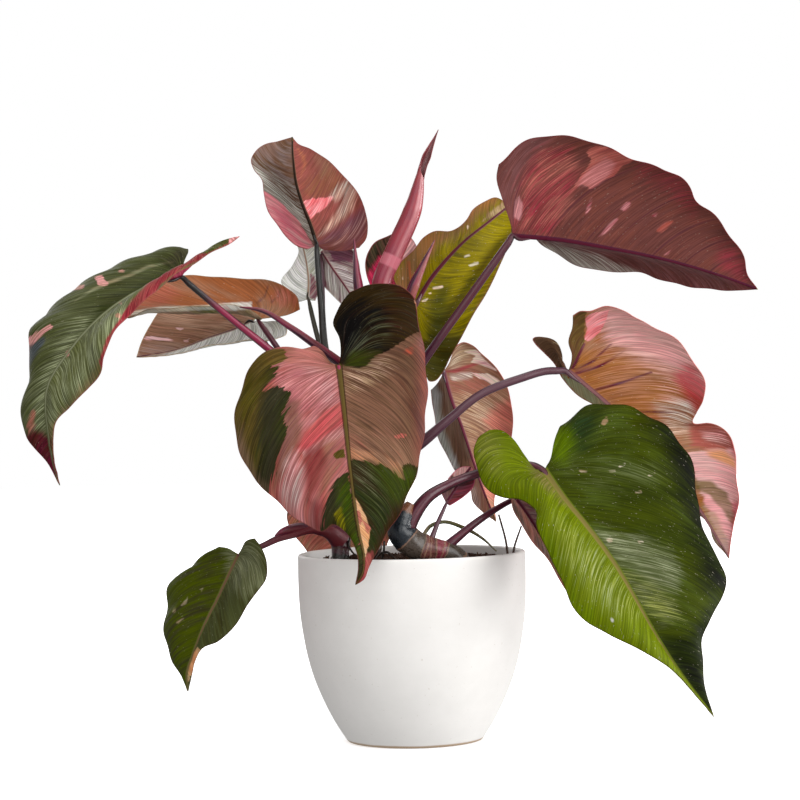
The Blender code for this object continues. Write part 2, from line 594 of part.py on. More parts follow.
def make_pot():
    """Turn the pot from its outer and inner profiles."""
    shoulder = RIM_HEIGHT - RIM_ROUND
    inner_radius = RIM_RADIUS - WALL
    rim = [(RIM_RADIUS, shoulder), (RIM_RADIUS - RIM_ROUND, RIM_HEIGHT),
           (inner_radius + RIM_ROUND, RIM_HEIGHT), (inner_radius, shoulder)]
    profile = [(0, 0), (BASE_RADIUS, 0), *POT_OUTSIDE, *rim, *POT_INSIDE, (0, FLOOR)]
    pot = turned("pot", profile, POT_SIDES)
    paint(pot, "pot", CERAMIC_WHITE, 0.45)


def make_soil(stems):
    """Fill the pot with potting mix, with a plain hole for each stem and twig."""
    peak = SOIL_TOP + SOIL_DOME
    top = [(82, SOIL_TOP), (60, (SOIL_TOP + peak) / 2), (30, peak)]
    soil = turned("soil", [(0, FLOOR + GAP), *SOIL_SIDE, *top, (0, peak)], POT_SIDES)
    cut(soil, stems)
    paint(soil, "soil", SOIL_BROWN, 0.95)


def main():
    clear()
    make_pot()
    cutters = {}
    for name, (line, radii) in STEMS.items():
        stem = tube(f"stem_{name}", line, radii, STEM_MESH)
        paint(stem, stem.name, STEM_SLATE, 0.35)
        cutters[name] = tube(f"cutter_{name}", line, radii, STEM_MESH, GAP)
    twig_cutters = []
    for name, (line, radii) in TWIGS.items():
        twig = tube(f"twig_{name}", line, radii, TWIG_MESH)
        paint(twig, twig.name, TWIG_BROWN, 0.7)
        twig_cutters.append(tube(f"cutter_twig_{name}", line, radii, TWIG_MESH, GAP))
    stems = list(cutters.values())
    make_soil(stems + twig_cutters)
    for name, leaf in LEAVES.items():
        radii = np.linspace(*leaf.radii, len(leaf.stalk))
        stalk = tube(f"stalk_{name}", leaf.stalk, radii, STALK_MESH)
        cut(stalk, stems)
        paint(stalk, stalk.name, STALK_RED, 0.35)
        plate = blade(f"blade_{name}", leaf)
        fat = tube("cutter_stalk", leaf.stalk, radii, STALK_MESH, GAP)
        cut(plate, [fat])
        bpy.data.objects.remove(fat, do_unlink=True)
        paint(plate, plate.name, BLADE_COLOURS[name], 0.35)
    roll = tube("roll", *ROLL, STEM_MESH)
    cut(roll, stems)
    paint(roll, "roll", SHEATH_RED, 0.35)
    for name, (line, radii) in SHEATHS.items():
        sheath = tube(f"sheath_{name}", line, radii, SHEATH_MESH)
        cut(sheath, stems)
        paint(sheath, sheath.name, SHEATH_RED, 0.35)
    strap = tube("strap", *STRAP, STRAP_MESH)
    cut(strap, stems)
    paint(strap, "strap", STRAP_GREEN, 0.6)
    for cutter in stems + twig_cutters:
        bpy.data.objects.remove(cutter, do_unlink=True)


main()
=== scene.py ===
"""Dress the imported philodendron: fine leaves, stalks, stems, potting mix and pot, and the studio.

The plant is set out as in the part's source: (across, up, depth) points in millimetres, seen by
an eye that looks level at the upright plane through the pot's axis. Areas of colour on the leaves
are outlined in pixels of that view, 800 by 800 for the whole picture.
"""

from collections import namedtuple

import bpy
import mathutils
import numpy as np
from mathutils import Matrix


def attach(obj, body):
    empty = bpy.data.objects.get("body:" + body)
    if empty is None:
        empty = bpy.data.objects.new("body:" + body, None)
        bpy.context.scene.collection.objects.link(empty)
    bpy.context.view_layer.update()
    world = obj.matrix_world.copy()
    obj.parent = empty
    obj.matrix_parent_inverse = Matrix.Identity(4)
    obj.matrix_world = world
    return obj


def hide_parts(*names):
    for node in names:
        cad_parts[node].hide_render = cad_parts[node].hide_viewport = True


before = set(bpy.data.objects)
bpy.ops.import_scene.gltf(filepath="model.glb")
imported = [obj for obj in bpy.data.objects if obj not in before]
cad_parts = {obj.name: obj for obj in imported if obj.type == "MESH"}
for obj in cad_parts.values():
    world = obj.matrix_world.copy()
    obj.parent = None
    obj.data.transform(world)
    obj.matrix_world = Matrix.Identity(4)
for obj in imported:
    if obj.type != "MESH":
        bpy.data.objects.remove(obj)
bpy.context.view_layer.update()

MM = 0.001

# The eye, in mm: the middle of the view among the table's points and in the model, the distance to
# the pot's axis, and the degrees that it leans. PIXEL_MM is what a pixel shows at the pot's axis.
EYE_ACROSS = -9.5
EYE_UP = 269.0
EYE_X = -6.6
EYE_Z = 269.2
EYE_DISTANCE = 1850.0
EYE_LEAN_DEG = 1.2
PIXEL_MM = 0.795
PICTURE_WIDTH = 800
SENSOR_MM = 36.0

# A leaf's two faces
UPPER = 1
LOWER = -1

# Pot, in mm
RIM_RADIUS = 90.4
RIM_HEIGHT = 148.4
BASE_RADIUS = 53.5
WALL = 4.0
FLOOR = 7.0
# (radius, height) up the outside and down the inside of the wall
POT_OUTSIDE = ((62.8, 14), (72.4, 33), (79.2, 50), (84.0, 67), (87.2, 84), (89.2, 99), (90.4, 122))
POT_INSIDE = ((86.2, 122), (85.0, 99), (79.8, 67), (68.0, 33), (57.5, 14), (49.0, FLOOR + 1.5),
              (42.0, FLOOR))
POT_SIDES = 192
POT_STEPS = 48
RIM_STEPS = 9
RIM_CROWN = 1.6
# The foot ring: its inner edge, the hollow inside it and the slant of its edges
FOOT_INNER = 47.0
FOOT_HOLLOW = 1.0
FOOT_SLANT = 1.0
# Two shades of the glaze, its specks and the clay below it, and their noises as scale, detail and
# roughness. GLAZE_RIPPLES is the scale of faint level ripples, and GLAZE_RELIEF what the grain adds
# to the relief. The glaze ends in a line that sways by GLAZE_SWING metres.
GLAZE = ((0.87, 0.846, 0.816), (0.90, 0.875, 0.846))
GLAZE_SPECK = (0.55, 0.48, 0.40)
BARE_CLAY = (0.50, 0.36, 0.24)
GLAZE_MOTTLE = (38.0, 4.0, 0.6)
GLAZE_GRAIN = (900.0, 2.0, 0.5)
GLAZE_SPECKS = (420.0, 1.0, 0.4)
GLAZE_RIPPLES = 160.0
GLAZE_SWING = 0.0012
GLAZE_RELIEF = 0.25
GLAZE_SPECULAR = 0.35

# Potting mix, in mm: the top with its low dome, its lumps and ripples as height, reach across, reach
# back and shift, and (radius, height) of the rings down its side
SOIL_TOP = 139.0
SOIL_DOME = 4.0
SOIL_RADIUS = 85.3
SOIL_LUMPS = (1.1, 7.1, 6.3, 1.3)
SOIL_RIPPLES = (0.7, 3.1, 4.2)
SOIL_RINGS = 46
SOIL_SIDES = 120
SOIL_BELOW = ((85.0, 122.0), (83.5, 99.0), (78.0, 67.0))
# Its clods and bits as scale, detail and roughness of noise
SOIL_CLODS = (160.0, 4.0, 0.7)
SOIL_BITS = (620.0, 2.0, 0.5)
SOIL_SPECULAR = 0.25

# Strewn chips: sizes in mm, how far the corners stray, and the lie, from an eight-faced lump
CHIPS = 2600
CHIP_LEAST = 0.7
CHIP_MOST = 4.2
CHIP_ROUGH = 0.35
CHIP_FLAT = np.array([1.0, 0.65, 0.4])
CHIP_LIFT = 0.25
CHIP_MARGIN = 2.5
CHIP_SHAPE = np.array([(1, 0, 0), (-1, 0, 0), (0, 1, 0), (0, -1, 0), (0, 0, 1), (0, 0, -1)], float)
CHIP_FACES = ((0, 2, 4), (2, 1, 4), (1, 3, 4), (3, 0, 4), (2, 0, 5), (1, 2, 5), (3, 1, 5), (0, 3, 5))
SEED = 7

# How the rulings of a half blade are spread, as in the solids: they fan out round the lobe until they
# lean to the tip by LOBE_END, and the half swells most away from its ends
RULING_POWER = 1.15
FAN_SHARE = 0.9
FAN_LEAST = 4
LOBE_END = 0.35
LOBE_LEAST = 0.12
LOBE_MOST = 0.6
LOBE_STEPS = 200
FULL_WIDTH = 40.0
SWELL_START = 0.1
SWELL_POWER = 0.6

# Finer blades, in mm: gap between rulings, how many at least and at most, points across a half
# and how they crowd to the rib, and the thickness
RULING_GAP = 1.9
RULINGS = (36, 110)
ROWS = 28
ROW_POWER = 1.45
BLADE = 0.6
# Rib: half width as a share of the stalk's radius, on the upper and on the under side, and at the
# tip in mm; groove above and ridge below, in mm on a rib of full width
RIB_UPPER = 1.05
RIB_UNDER = 0.78
RIB_THIN = 0.7
RIB_FULL = 2.6
GROOVE = 0.45
RIDGE = 1.3
# Side veins bend to the tip by this many mm for each mm of width, and the blade swells between
# them. They crowd round the lobe, and wander by a share of their gap. SPACING_LIMITS bound how far
# they close up or spread, and SLANT_LEAST how far the margin leans from them. The margin waves by
# WAVE mm over WAVE_LENGTH mm. A patch on one half reaches HALF_OVERLAP mm over the rib.
VEIN_BEND = 0.4
FAN_SPACING = 0.6
SPACING_LIMITS = (0.05, 3.0)
SLANT_LEAST = 0.02
VEIN_SWAY = 0.16
VEIN_SWAY_BEAT = 2.3
PLEAT = 0.55
WAVE = 1.0
WAVE_LENGTH = 34.0
WAVE_SHIFT = 3.0
HALF_OVERLAP = 0.2

# Colours: ALBEDO dims the whole palette. On a leaf VEIL makes up for the pale film of its gloss,
# and tones stay between DARKEST and BRIGHTEST. HAIR is how far the finest streaks lighten and
# darken it.
ALBEDO = 0.77
VEIL = 0.0045
DARKEST = 0.0015
BRIGHTEST = 0.9
HAIR = 0.36
HAIR_SPAN = (0.34, 0.66)
HAIR_SATURATION = 1.05
LEAF_ROUGHNESS = 0.5
LEAF_SPECULAR = 0.04
# On the hidden face patches keep their colour if red is more than REDNESS times green, or if they
# are lighter than PALE. The others take a tint: that of the upper or of the under side.
REDNESS = 1.25
PALE = 0.22
UPPER_TINT = (0.75, 1.35, 0.45)
UNDER_TINT = (1.5, 0.8, 0.75)
HIDDEN_RIB = {LOWER: "brass", UPPER: "wine"}
# The strength of the painted sheen on the hidden face
HIDDEN_SHEEN = 0.15
# How far a patch's border strays, in mm for each mm of its raggedness: fine teeth and broad sway.
# BORDER says where its colour starts and where it is full, in mm inside the outline.
TOOTH = 1.6
SWAY = 3.2
BORDER = (-0.5, 0.6)
# Relief of a leaf's streaks, fine lines and side veins
LEAF_RELIEF = (0.5, 0.8, -0.6)
# Relief in all: strength, and height in metres
BUMPS = {
    "leaf": (0.14, 0.0006), "stalk": (0.25, 0.0006), "stem": (0.35, 0.001), "sheath": (0.3, 0.0005),
    "roll": (0.1, 0.0004), "glaze": (0.12, 0.0006), "soil": (0.7, 0.0015),
}

# Noise over a leaf: scale across its veins, scale along them, shift, detail, roughness
LEAF_NOISE = {
    "fine": (1.0, 0.05, 0.0, 4.0, 0.65),
    "broad": (0.24, 0.04, 7.0, 3.0, 0.6),
    "cloud": (0.035, 0.025, 3.0, 2.0, 0.5),
    "hair": (0.8, 0.03, 5.0, 3.0, 0.6),
    "speck": (1.0, 0.36, 11.0, 2.0, 0.6),
}
# Noise over a swept piece: scale round it, scale along it, detail, roughness
SWEPT_NOISE = {
    "streak": (2.6, 0.035, 3.0, 0.6),
    "fleck": (2.2, 1.32, 2.0, 0.5),
    "blotch": (1.3, 0.156, 3.0, 0.55),
    "grain": (6.0, 0.5, 3.0, 0.6),
    "lines": (7.0, 0.03, 3.0, 0.6),
    "sheath cloud": (1.4, 0.063, 2.0, 0.5),
    "roll cloud": (1.6, 0.08, 3.0, 0.6),
}
# Ramps: the two ends of a value, and what it gives at each, 0 and 1 where not said
RAMPS = {
    "leaf threads": (0.46, 0.62),
    "leaf main": (0.36, 0.62),
    "leaf light": (0.42, 0.66),
    "leaf light lines": (0.38, 0.62, 0.5, 1.0),
    "leaf halves": (-0.3, 0.3),
    "leaf accent": (0.44, 0.6),
    # Painted sheen: where the streaks of silvery film lie
    "leaf sheen lines": (0.5, 0.72),
    "leaf painted sheen": (0.42, 0.6),
    "leaf side vein": (0.25, 0.9, 1.0, 0.0),
    "leaf speck": (0.68, 0.71),
    "leaf rib flank": (0.2, 1.0, 0.8, 0.0),
    "leaf rib crest": (-0.8, -0.1, 0.9, 0.0),
    "leaf margin": (0.2, 0.8, 0.6, 0.0),
    "leaf roughness": (0.3, 0.7, LEAF_ROUGHNESS - 0.06, LEAF_ROUGHNESS + 0.12),
    "stalk lit front": (0.25, 0.9),
    "stalk streak": (0.55, 0.7, 0.0, 0.75),
    "stalk fleck": (0.66, 0.74, 0.0, 0.5),
    "stalk roughness": (0.3, 0.7, 0.25, 0.45),
    "stem blotch": (0.38, 0.66),
    "stem zone": (0.3, 0.7, 0.55, 1.0),
    "stem joint": (0.2, 0.8, 0.6, 0.0),
    "stem scar": (0.2, 0.8, 0.8, 0.0),
    "stem grain": (0.62, 0.72, 0.0, 0.15),
    "stem roughness": (0.3, 0.7, 0.2, 0.45),
    "sheath side": (-0.5, 0.4),
    "sheath cloud": (0.45, 0.65, 0.0, 0.7),
    "sheath lines": (0.5, 0.68, 0.0, 0.5),
    "sheath roughness": (0.3, 0.7, 0.22, 0.4),
    "roll cloud": (0.35, 0.65),
    "roll foot": (20.0, 90.0, 0.4, 0.0),
    "roll tip": (105.0, 140.0, 0.0, 0.55),
    "roll shaded edge": (-0.98, -0.45, 0.6, 0.0),
    "roll sheen": (0.0, 0.42, 0.6, 0.0),
    "roll sheen cloud": (0.3, 0.6, 0.75, 1.0),
    "roll ring start": (45.5, 47.5),
    "roll ring end": (55.0, 57.0, 0.85, 0.0),
    "roll roughness": (0.3, 0.7, 0.24, 0.4),
    "glaze": (0.35, 0.7),
    "glaze speck": (0.74, 0.8, 0.0, 0.35),
    "glaze end": (0.0012, 0.0024, 1.0, 0.0),
    "glaze roughness": (0.3, 0.7, 0.42, 0.58),
    "soil clod": (0.4, 0.6),
    "soil bit": (0.62, 0.7, 0.0, 0.7),
    "soil roughness": (0.3, 0.7, 0.75, 0.98),
    "floor glow": (0.3, 0.9, 0.55, 1.3),
}

# Leaf stalks: rings along and sides round; how much the foot swells, by leaf, and over which share
# of the stalk; where the colour near the foot gives way, in mm
STALK_RINGS = 72
STALK_SIDES = 18
STALK_FOOT = {"low": 0.9, "gold": 0.45, "green": 0.35, "maroon": 0.3}
STALK_FOOT_ELSE = 0.2
STALK_FOOT_SHARE = 0.22
STALK_CHANGE = {"left": (165.0, 190.0)}
STALK_CHANGE_ELSE = (25.0, 110.0)
# The tail takes the place of the last TAIL_START rings and runs out under the start of the rib: shares
# of the rib, how deep it sinks there in radii, and how it thins
TAIL_RINGS = 12
TAIL_START = 4
TAIL_SHARES = (0.025, 0.07)
TAIL_SINK = (0.8, 0.5)
TAIL_SHRINK = ((0, 0.3, 1), (1, 0.85, 0.2))
# The channel along a stalk, how it swells along its length, and how far its streaks shift the edge
# between the painted highlight to the front and the painted shade on the flanks
CHANNEL_ANGLE = 2.2
CHANNEL_WIDTH = 0.55
CHANNEL_DEPTH = 0.22
STALK_SWELL = (0.03, 17.0)
STALK_SWING = 1.4
FLECK_RELIEF = 0.4

# Stems, in mm: joint rings every RING_GAP, or scars at RING_SPOTS where a stem has coloured
# stretches. Lumps are (height as a share of the radius, how many round, reach along). STEM_SWING is
# how far rings and stretches stray, and ZONE_FADE how softly a stretch starts and ends.
STEM_RINGS = 90
STEM_SIDES = 32
RING_GAP = 15.0
RING_WIDE = 1.3
RING_HEIGHT = 0.06
RING_SINK = 0.03
RING_SPOTS = (15.0, 28.0, 31.0, 36.0, 40.0, 43.5, 46.5, 60.0)
STEM_LUMPS = ((0.02, 3, 5.0), (0.02, 5, -3.0))
STEM_SWING = 5.0
ZONE_FADE = 1.0
GRAIN_RELIEF = 0.4
TWIG_RINGS = 24
TWIG_SIDES = 10
LEAST_RADIUS = 0.2

# Sheaths: the keel at the back, and width against depth
KEEL = 0.25
KEEL_POWER = 6
SHEATH_WIDE = 0.85
WING_WIDE = 0.8
STRAP_WIDE = 0.7

# Rolled leaf. By share of its length: growth of its radius, and the angles in degrees, from the
# front round by the right, at which the leaf's turn begins and ends
ROLL_RINGS = 90
ROLL_STEPS = 48
ROLL_GROWTH = ((0, 0.19, 0.35, 0.46, 0.57, 0.68, 0.765, 0.815, 0.86, 0.93, 1),
               (1.05, 1.12, 1.07, 1.13, 1.15, 1.08, 0.92, 1.15, 1.6, 1.3, 0.6))
ROLL_FIRST = ((0, 0.7, 0.8, 1), (150, 140, 85, 120))
ROLL_LAST = ((0, 0.7, 0.8, 1), (570, 520, 310, 290))
ROLL_INWARD = 0.1
ROLL_LEAST = 0.3
# Thickness: the most it is, or a share of the radius and a little more
ROLL_SKIN = (0.45, 0.2, 0.05)
# Where the sheen lies on the way round, and how far the bright ring strays, in mm
ROLL_SHEEN = 0.42
ROLL_SWING = 3.0

# Studio, in metres and watts: each light's place, width and power
FLOOR_RADIUS = 6.0
FLOOR_SIDES = 96
FLOOR_Z = -0.0006
FLOOR_SHADES = ((0.88, 0.88, 0.88), (0.9, 0.9, 0.9))
FLOOR_NOISE = (3.0, 2.0, 0.5)
FLOOR_ROUGHNESS = 0.9
FLOOR_SPECULAR = 0.1
WORLD_LIGHT = 0.42
WORLD_SEEN = 1.0
LIGHT_AIM = (0.0, 0.0, 0.25)
LIGHTS = {
    "key": ((1.9, -1.7, 1.0), 2.0, 54),
    "front": ((-0.7, -2.4, 1.0), 2.0, 20),
    "side": ((1.7, 0.1, 0.2), 0.9, 30),
    "top": ((0.1, 0.1, 1.9), 1.2, 12),
    "back": ((-1.3, 2.2, 1.1), 1.6, 16),
}

# shows says which face is seen from the front. rib runs from the stalk to the tip. right and left
# are the margins from the notch at the stalk round the lobe to the tip, named with the tip hanging
# down. notch says how many points of each margin lie along the notch. radii are the stalk's, from
# its foot to the blade. crown is how high each half swells, in mm.
Leaf = namedtuple("Leaf", "shows crown notch radii stalk rib right left")
LEAVES = {
    "front": Leaf(
        shows=UPPER, crown=7, notch=(5, 3), radii=(4.0, 2.2),
        stalk=[(-27, 260, 3), (-35, 275, -14), (-47, 288, -38), (-58, 296, -58)],
        rib=[(-58, 296, -60), (-54, 261, -80), (-49, 213, -98), (-42, 163, -110), (-38, 143, -113),
             (-39, 132, -115), (-45, 122, -116)],
        right=[(-56, 307, -56), (-56, 318, -52), (-60, 329, -50), (-56, 340, -49), (-49, 355, -48),
               (-38, 360, -47), (-22, 361, -46), (-9, 360, -45), (1, 351, -45), (4, 337, -45),
               (9, 311, -46), (12, 281, -50), (10, 249, -58), (5, 217, -68), (-2, 196, -76),
               (-13, 174, -88), (-27, 151, -100), (-35, 134, -110), (-38, 127, -113)],
        left=[(-64, 298, -59), (-71, 306, -56), (-78, 312, -53), (-88, 310, -50), (-104, 310, -46),
              (-117, 308, -45), (-129, 293, -46), (-138, 269, -48), (-141, 249, -52), (-137, 229, -58),
              (-129, 212, -65), (-110, 191, -76), (-89, 173, -88), (-71, 165, -98), (-62, 170, -101),
              (-53, 164, -105), (-47, 156, -110), (-43, 144, -113), (-43, 132, -115)]),
    "left": Leaf(
        shows=UPPER, crown=6, notch=(3, 3), radii=(4.0, 2.4),
        stalk=[(-22, 232, 5), (-65, 269, -8), (-113, 309, -20), (-149, 338, -29), (-184, 367, -36)],
        rib=[(-184, 368, -38), (-211, 359, -52), (-239, 342, -66), (-273, 307, -80), (-289, 281, -88),
             (-288, 237, -92), (-280, 201, -92)],
        right=[(-176, 374, -45), (-163, 385, -52), (-137, 399, -60), (-157, 387, -66), (-183, 372, -74),
               (-196, 362, -85), (-211, 349, -95), (-227, 334, -104), (-239, 319, -118), (-245, 303, -125),
               (-246, 293, -126), (-257, 279, -120), (-272, 263, -110), (-283, 251, -101), (-285, 238, -97),
               (-284, 219, -94)],
        left=[(-181, 378, -31), (-178, 384, -22), (-178, 389, -13), (-185, 391, -6), (-200, 388, 0),
              (-228, 379, 5), (-251, 368, 0), (-270, 356, -10), (-291, 337, -25), (-304, 321, -45),
              (-305, 311, -50), (-303, 294, -60), (-305, 281, -65), (-310, 263, -72), (-310, 250, -77),
              (-307, 241, -80), (-299, 230, -86), (-289, 218, -90)]),
    "rust": Leaf(
        shows=LOWER, crown=5, notch=(1, 2), radii=(3.6, 2.2),
        stalk=[(-24, 198, 11), (-60, 235, 16), (-86, 277, 24), (-108, 312, 34), (-122, 332, 43)],
        rib=[(-122, 333, 45), (-146, 340, 38), (-176, 341, 30), (-208, 340, 25), (-226, 334, 22)],
        right=[(-119, 334, 40), (-129, 341, 22), (-138, 344, 10), (-151, 345, 2), (-176, 343, -4),
               (-208, 341, 0)],
        left=[(-104, 337, 60), (-89, 341, 75), (-92, 352, 82), (-102, 360, 86), (-115, 364, 88),
              (-146, 366, 86), (-174, 368, 80), (-190, 366, 75), (-208, 357, 60)]),
    "brown": Leaf(
        shows=LOWER, crown=4, notch=(3, 2), radii=(3.4, 2.0),
        stalk=[(-26, 187, 20), (-57, 225, 37), (-89, 269, 60), (-117, 315, 84), (-127, 331, 93)],
        rib=[(-127, 332, 95), (-141, 325, 88), (-159, 319, 82), (-186, 309, 74), (-219, 303, 66)],
        right=[(-119, 332, 92), (-108, 333, 82), (-99, 327, 74), (-100, 320, 67), (-108, 318, 63),
               (-130, 316, 60), (-157, 313, 60), (-174, 309, 62), (-191, 305, 64)],
        left=[(-119, 337, 108), (-114, 342, 125), (-133, 349, 135), (-161, 352, 135), (-188, 347, 125),
              (-200, 340, 110), (-208, 329, 95), (-216, 313, 78)]),
    "upper": Leaf(
        shows=LOWER, crown=6, notch=(2, 4), radii=(4.2, 2.2),
        stalk=[(-27, 255, 11), (-49, 266, 20), (-63, 285, 27), (-69, 309, 31), (-72, 345, 35),
               (-75, 378, 38), (-76, 394, 40)],
        rib=[(-76, 393, 40), (-80, 406, 38), (-88, 427, 38), (-92, 441, 42), (-94, 456, 50), (-95, 468, 62),
             (-95, 478, 78)],
        right=[(-78, 391, 44), (-84, 389, 50), (-91, 391, 55), (-101, 400, 62), (-107, 408, 66),
               (-115, 420, 69), (-118, 434, 69), (-119, 443, 70), (-126, 453, 72), (-128, 460, 74),
               (-124, 467, 76), (-117, 472, 78), (-106, 475, 80)],
        left=[(-71, 389, 46), (-62, 388, 54), (-52, 388, 62), (-42, 390, 68), (-37, 396, 70),
              (-35, 408, 70), (-37, 419, 69), (-42, 432, 66), (-57, 450, 64), (-67, 460, 68),
              (-80, 468, 74), (-91, 473, 78)]),
    "silver": Leaf(
        shows=LOWER, crown=3, notch=(1, 1), radii=(3.2, 1.8),
        stalk=[(-27, 240, 16), (-48, 258, 45), (-66, 290, 62), (-75, 319, 70), (-80, 339, 77),
               (-82, 348, 81)],
        rib=[(-83, 349, 83), (-82, 360, 86), (-84, 379, 95), (-89, 400, 104), (-97, 428, 108)],
        right=[(-91, 347, 86), (-97, 355, 90), (-104, 363, 94), (-95, 376, 98), (-90, 388, 102),
               (-97, 400, 108), (-103, 414, 112)],
        left=[(-77, 348, 80), (-73, 357, 83), (-70, 374, 92), (-66, 395, 101), (-70, 414, 108)]),
    "plum": Leaf(
        shows=LOWER, crown=3, notch=(2, 1), radii=(2.6, 1.5),
        stalk=[(-27, 272, 16), (-46, 281, 42), (-66, 303, 68), (-70, 330, 76), (-71, 360, 80),
               (-72, 385, 82)],
        rib=[(-72, 387, 82), (-62, 372, 80), (-52, 358, 74), (-44, 345, 66), (-40, 331, 58)],
        right=[(-66, 392, 85), (-53, 395, 87), (-44, 384, 84), (-41, 368, 77), (-38, 350, 66)],
        left=[(-73, 379, 84), (-71, 361, 86), (-65, 354, 84), (-56, 345, 78), (-48, 336, 68)]),
    "olive": Leaf(
        shows=LOWER, crown=5, notch=(2, 4), radii=(3.8, 2.3),
        stalk=[(-20, 286, 15), (-12, 313, 18), (-3, 332, 20), (2, 343, 20)],
        rib=[(3, 345, 20), (14, 364, 22), (25, 378, 25), (38, 392, 32), (59, 409, 55), (78, 424, 80)],
        right=[(-1, 349, 24), (-10, 355, 32), (-15, 367, 38), (-10, 377, 41), (1, 388, 42), (10, 399, 46),
               (17, 403, 50), (30, 403, 56), (43, 412, 62), (48, 420, 68), (58, 427, 75), (66, 430, 80)],
        left=[(4, 338, 23), (2, 325, 32), (6, 309, 38), (10, 291, 45), (13, 284, 48), (18, 284, 50),
              (24, 290, 50), (30, 302, 48), (39, 318, 45), (49, 337, 45), (60, 355, 48), (70, 376, 55),
              (78, 395, 64), (82, 410, 75)]),
    "maroon": Leaf(
        shows=LOWER, crown=7, notch=(4, 2), radii=(3.8, 3.0),
        stalk=[(-23, 251, 3), (10, 301, -5), (46, 351, -9), (81, 400, -10)],
        rib=[(80, 399, -10), (117, 396, -15), (153, 390, -20), (194, 382, -25), (238, 370, -32),
             (275, 357, -40)],
        right=[(79, 406, -14), (72, 426, -23), (67, 445, -32), (69, 456, -36), (82, 469, -40),
               (96, 477, -42), (117, 479, -44), (137, 476, -45), (157, 469, -46), (177, 460, -47),
               (198, 453, -48), (214, 446, -48), (221, 437, -47), (225, 429, -46), (238, 418, -45),
               (254, 398, -43), (264, 382, -42), (267, 368, -41)],
        left=[(79, 403, 0), (80, 409, 12), (90, 406, 30), (105, 392, 40), (125, 379, 42), (147, 372, 42),
              (169, 371, 40), (181, 370, 36), (207, 362, 20), (238, 357, -5), (262, 356, -30)]),
    "rose": Leaf(
        shows=LOWER, crown=5, notch=(2, 2), radii=(3.4, 2.2),
        stalk=[(-21, 207, 19), (-12, 245, 44), (2, 290, 60), (12, 305, 67), (21, 301, 70), (25, 290, 70)],
        rib=[(25, 291, 70), (32, 267, 66), (39, 249, 66), (47, 225, 68), (56, 199, 72), (67, 172, 75)],
        right=[(29, 297, 75), (35, 312, 80), (40, 315, 82), (49, 312, 82), (55, 306, 78), (68, 294, 76),
               (73, 285, 76), (77, 275, 76), (80, 260, 78), (79, 236, 82), (76, 213, 82), (66, 192, 80)],
        left=[(23, 288, 80), (15, 277, 95), (17, 260, 105), (23, 234, 108), (34, 214, 105), (46, 198, 98),
              (49, 188, 92), (56, 180, 85)]),
    "young": Leaf(
        shows=LOWER, crown=2, notch=(1, 1), radii=(2.2, 1.3),
        stalk=[(14, 154, -56), (20, 170, -52), (27, 186, -45)],
        rib=[(27, 187, -45), (33, 196, -43), (40, 207, -41), (47, 216, -38)],
        right=[(24, 194, -43), (26, 201, -40), (30, 208, -38), (40, 216, -37)],
        left=[(30, 185, -45), (41, 192, -44), (49, 201, -42), (50, 209, -40)]),
    "green": Leaf(
        shows=UPPER, crown=8, notch=(4, 5), radii=(4.6, 3.0),
        stalk=[(-5, 163, -61), (1, 176, -60), (12, 191, -57), (30, 202, -50), (51, 210, -44),
               (78, 216, -46), (98, 216, -55), (104, 213, -59)],
        rib=[(105, 213, -60), (120, 192, -78), (138, 170, -92), (161, 139, -105), (178, 110, -113),
             (192, 85, -118), (207, 61, -120), (240, 17, -120)],
        right=[(107, 216, -56), (110, 220, -50), (113, 232, -42), (118, 248, -35), (129, 257, -30),
               (143, 265, -28), (156, 266, -28), (174, 263, -30), (187, 257, -32), (204, 246, -38),
               (210, 239, -40), (221, 223, -46), (225, 210, -50), (226, 193, -56), (230, 174, -64),
               (236, 155, -74), (245, 141, -82), (249, 128, -88), (247, 112, -94), (236, 94, -102),
               (231, 77, -108), (231, 58, -112), (234, 36, -117)],
        left=[(101, 213, -60), (89, 223, -52), (78, 236, -48), (69, 243, -45), (61, 245, -44),
              (53, 240, -44), (50, 232, -46), (51, 218, -55), (55, 205, -62), (64, 195, -70),
              (74, 191, -78), (85, 190, -84), (93, 186, -92), (98, 181, -98), (99, 171, -105),
              (103, 159, -112), (110, 144, -120), (118, 128, -126), (129, 103, -132), (138, 93, -134),
              (156, 83, -135), (187, 67, -134), (207, 54, -130), (221, 39, -126)]),
    "gold": Leaf(
        shows=LOWER, crown=7, notch=(5, 4), radii=(4.0, 3.0),
        stalk=[(-18, 218, 6), (10, 237, -5), (30, 254, -7), (54, 273, -8), (86, 286, -5), (108, 292, -1),
               (122, 292, 0)],
        rib=[(124, 292, 0), (154, 267, 5), (185, 237, 8), (221, 193, 10), (252, 143, 5)],
        right=[(126, 296, -4), (127, 304, -8), (124, 314, -10), (127, 324, -15), (128, 336, -20),
               (133, 340, -22), (142, 340, -25), (156, 343, -28), (170, 340, -28), (178, 334, -28),
               (189, 328, -28), (204, 322, -28), (218, 308, -26), (227, 295, -24), (233, 281, -20),
               (232, 269, -15), (226, 259, -5), (224, 251, 6), (234, 251, 5), (245, 247, 0), (254, 239, -2),
               (257, 228, -2), (257, 216, -2), (260, 192, 0), (257, 175, 2), (253, 153, 4)],
        left=[(120, 296, 4), (118, 304, 8), (112, 314, 12), (103, 319, 14), (96, 318, 16), (98, 314, 18),
              (105, 306, 20), (114, 297, 24), (119, 287, 28), (127, 277, 38), (147, 263, 45),
              (181, 230, 50), (213, 190, 42), (235, 171, 26), (241, 156, 15), (248, 148, 9)]),
    "low": Leaf(
        shows=UPPER, crown=5, notch=(3, 2), radii=(4.6, 2.0),
        stalk=[(-56, 157, -4), (-64, 164, -8), (-76, 167, -12), (-96, 162, -17), (-106, 159, -19),
               (-119, 153, -22), (-136, 147, -25)],
        rib=[(-138, 146, -25), (-146, 129, -32), (-154, 112, -38), (-165, 90, -44), (-174, 67, -46),
             (-179, 52, -44), (-178, 37, -42)],
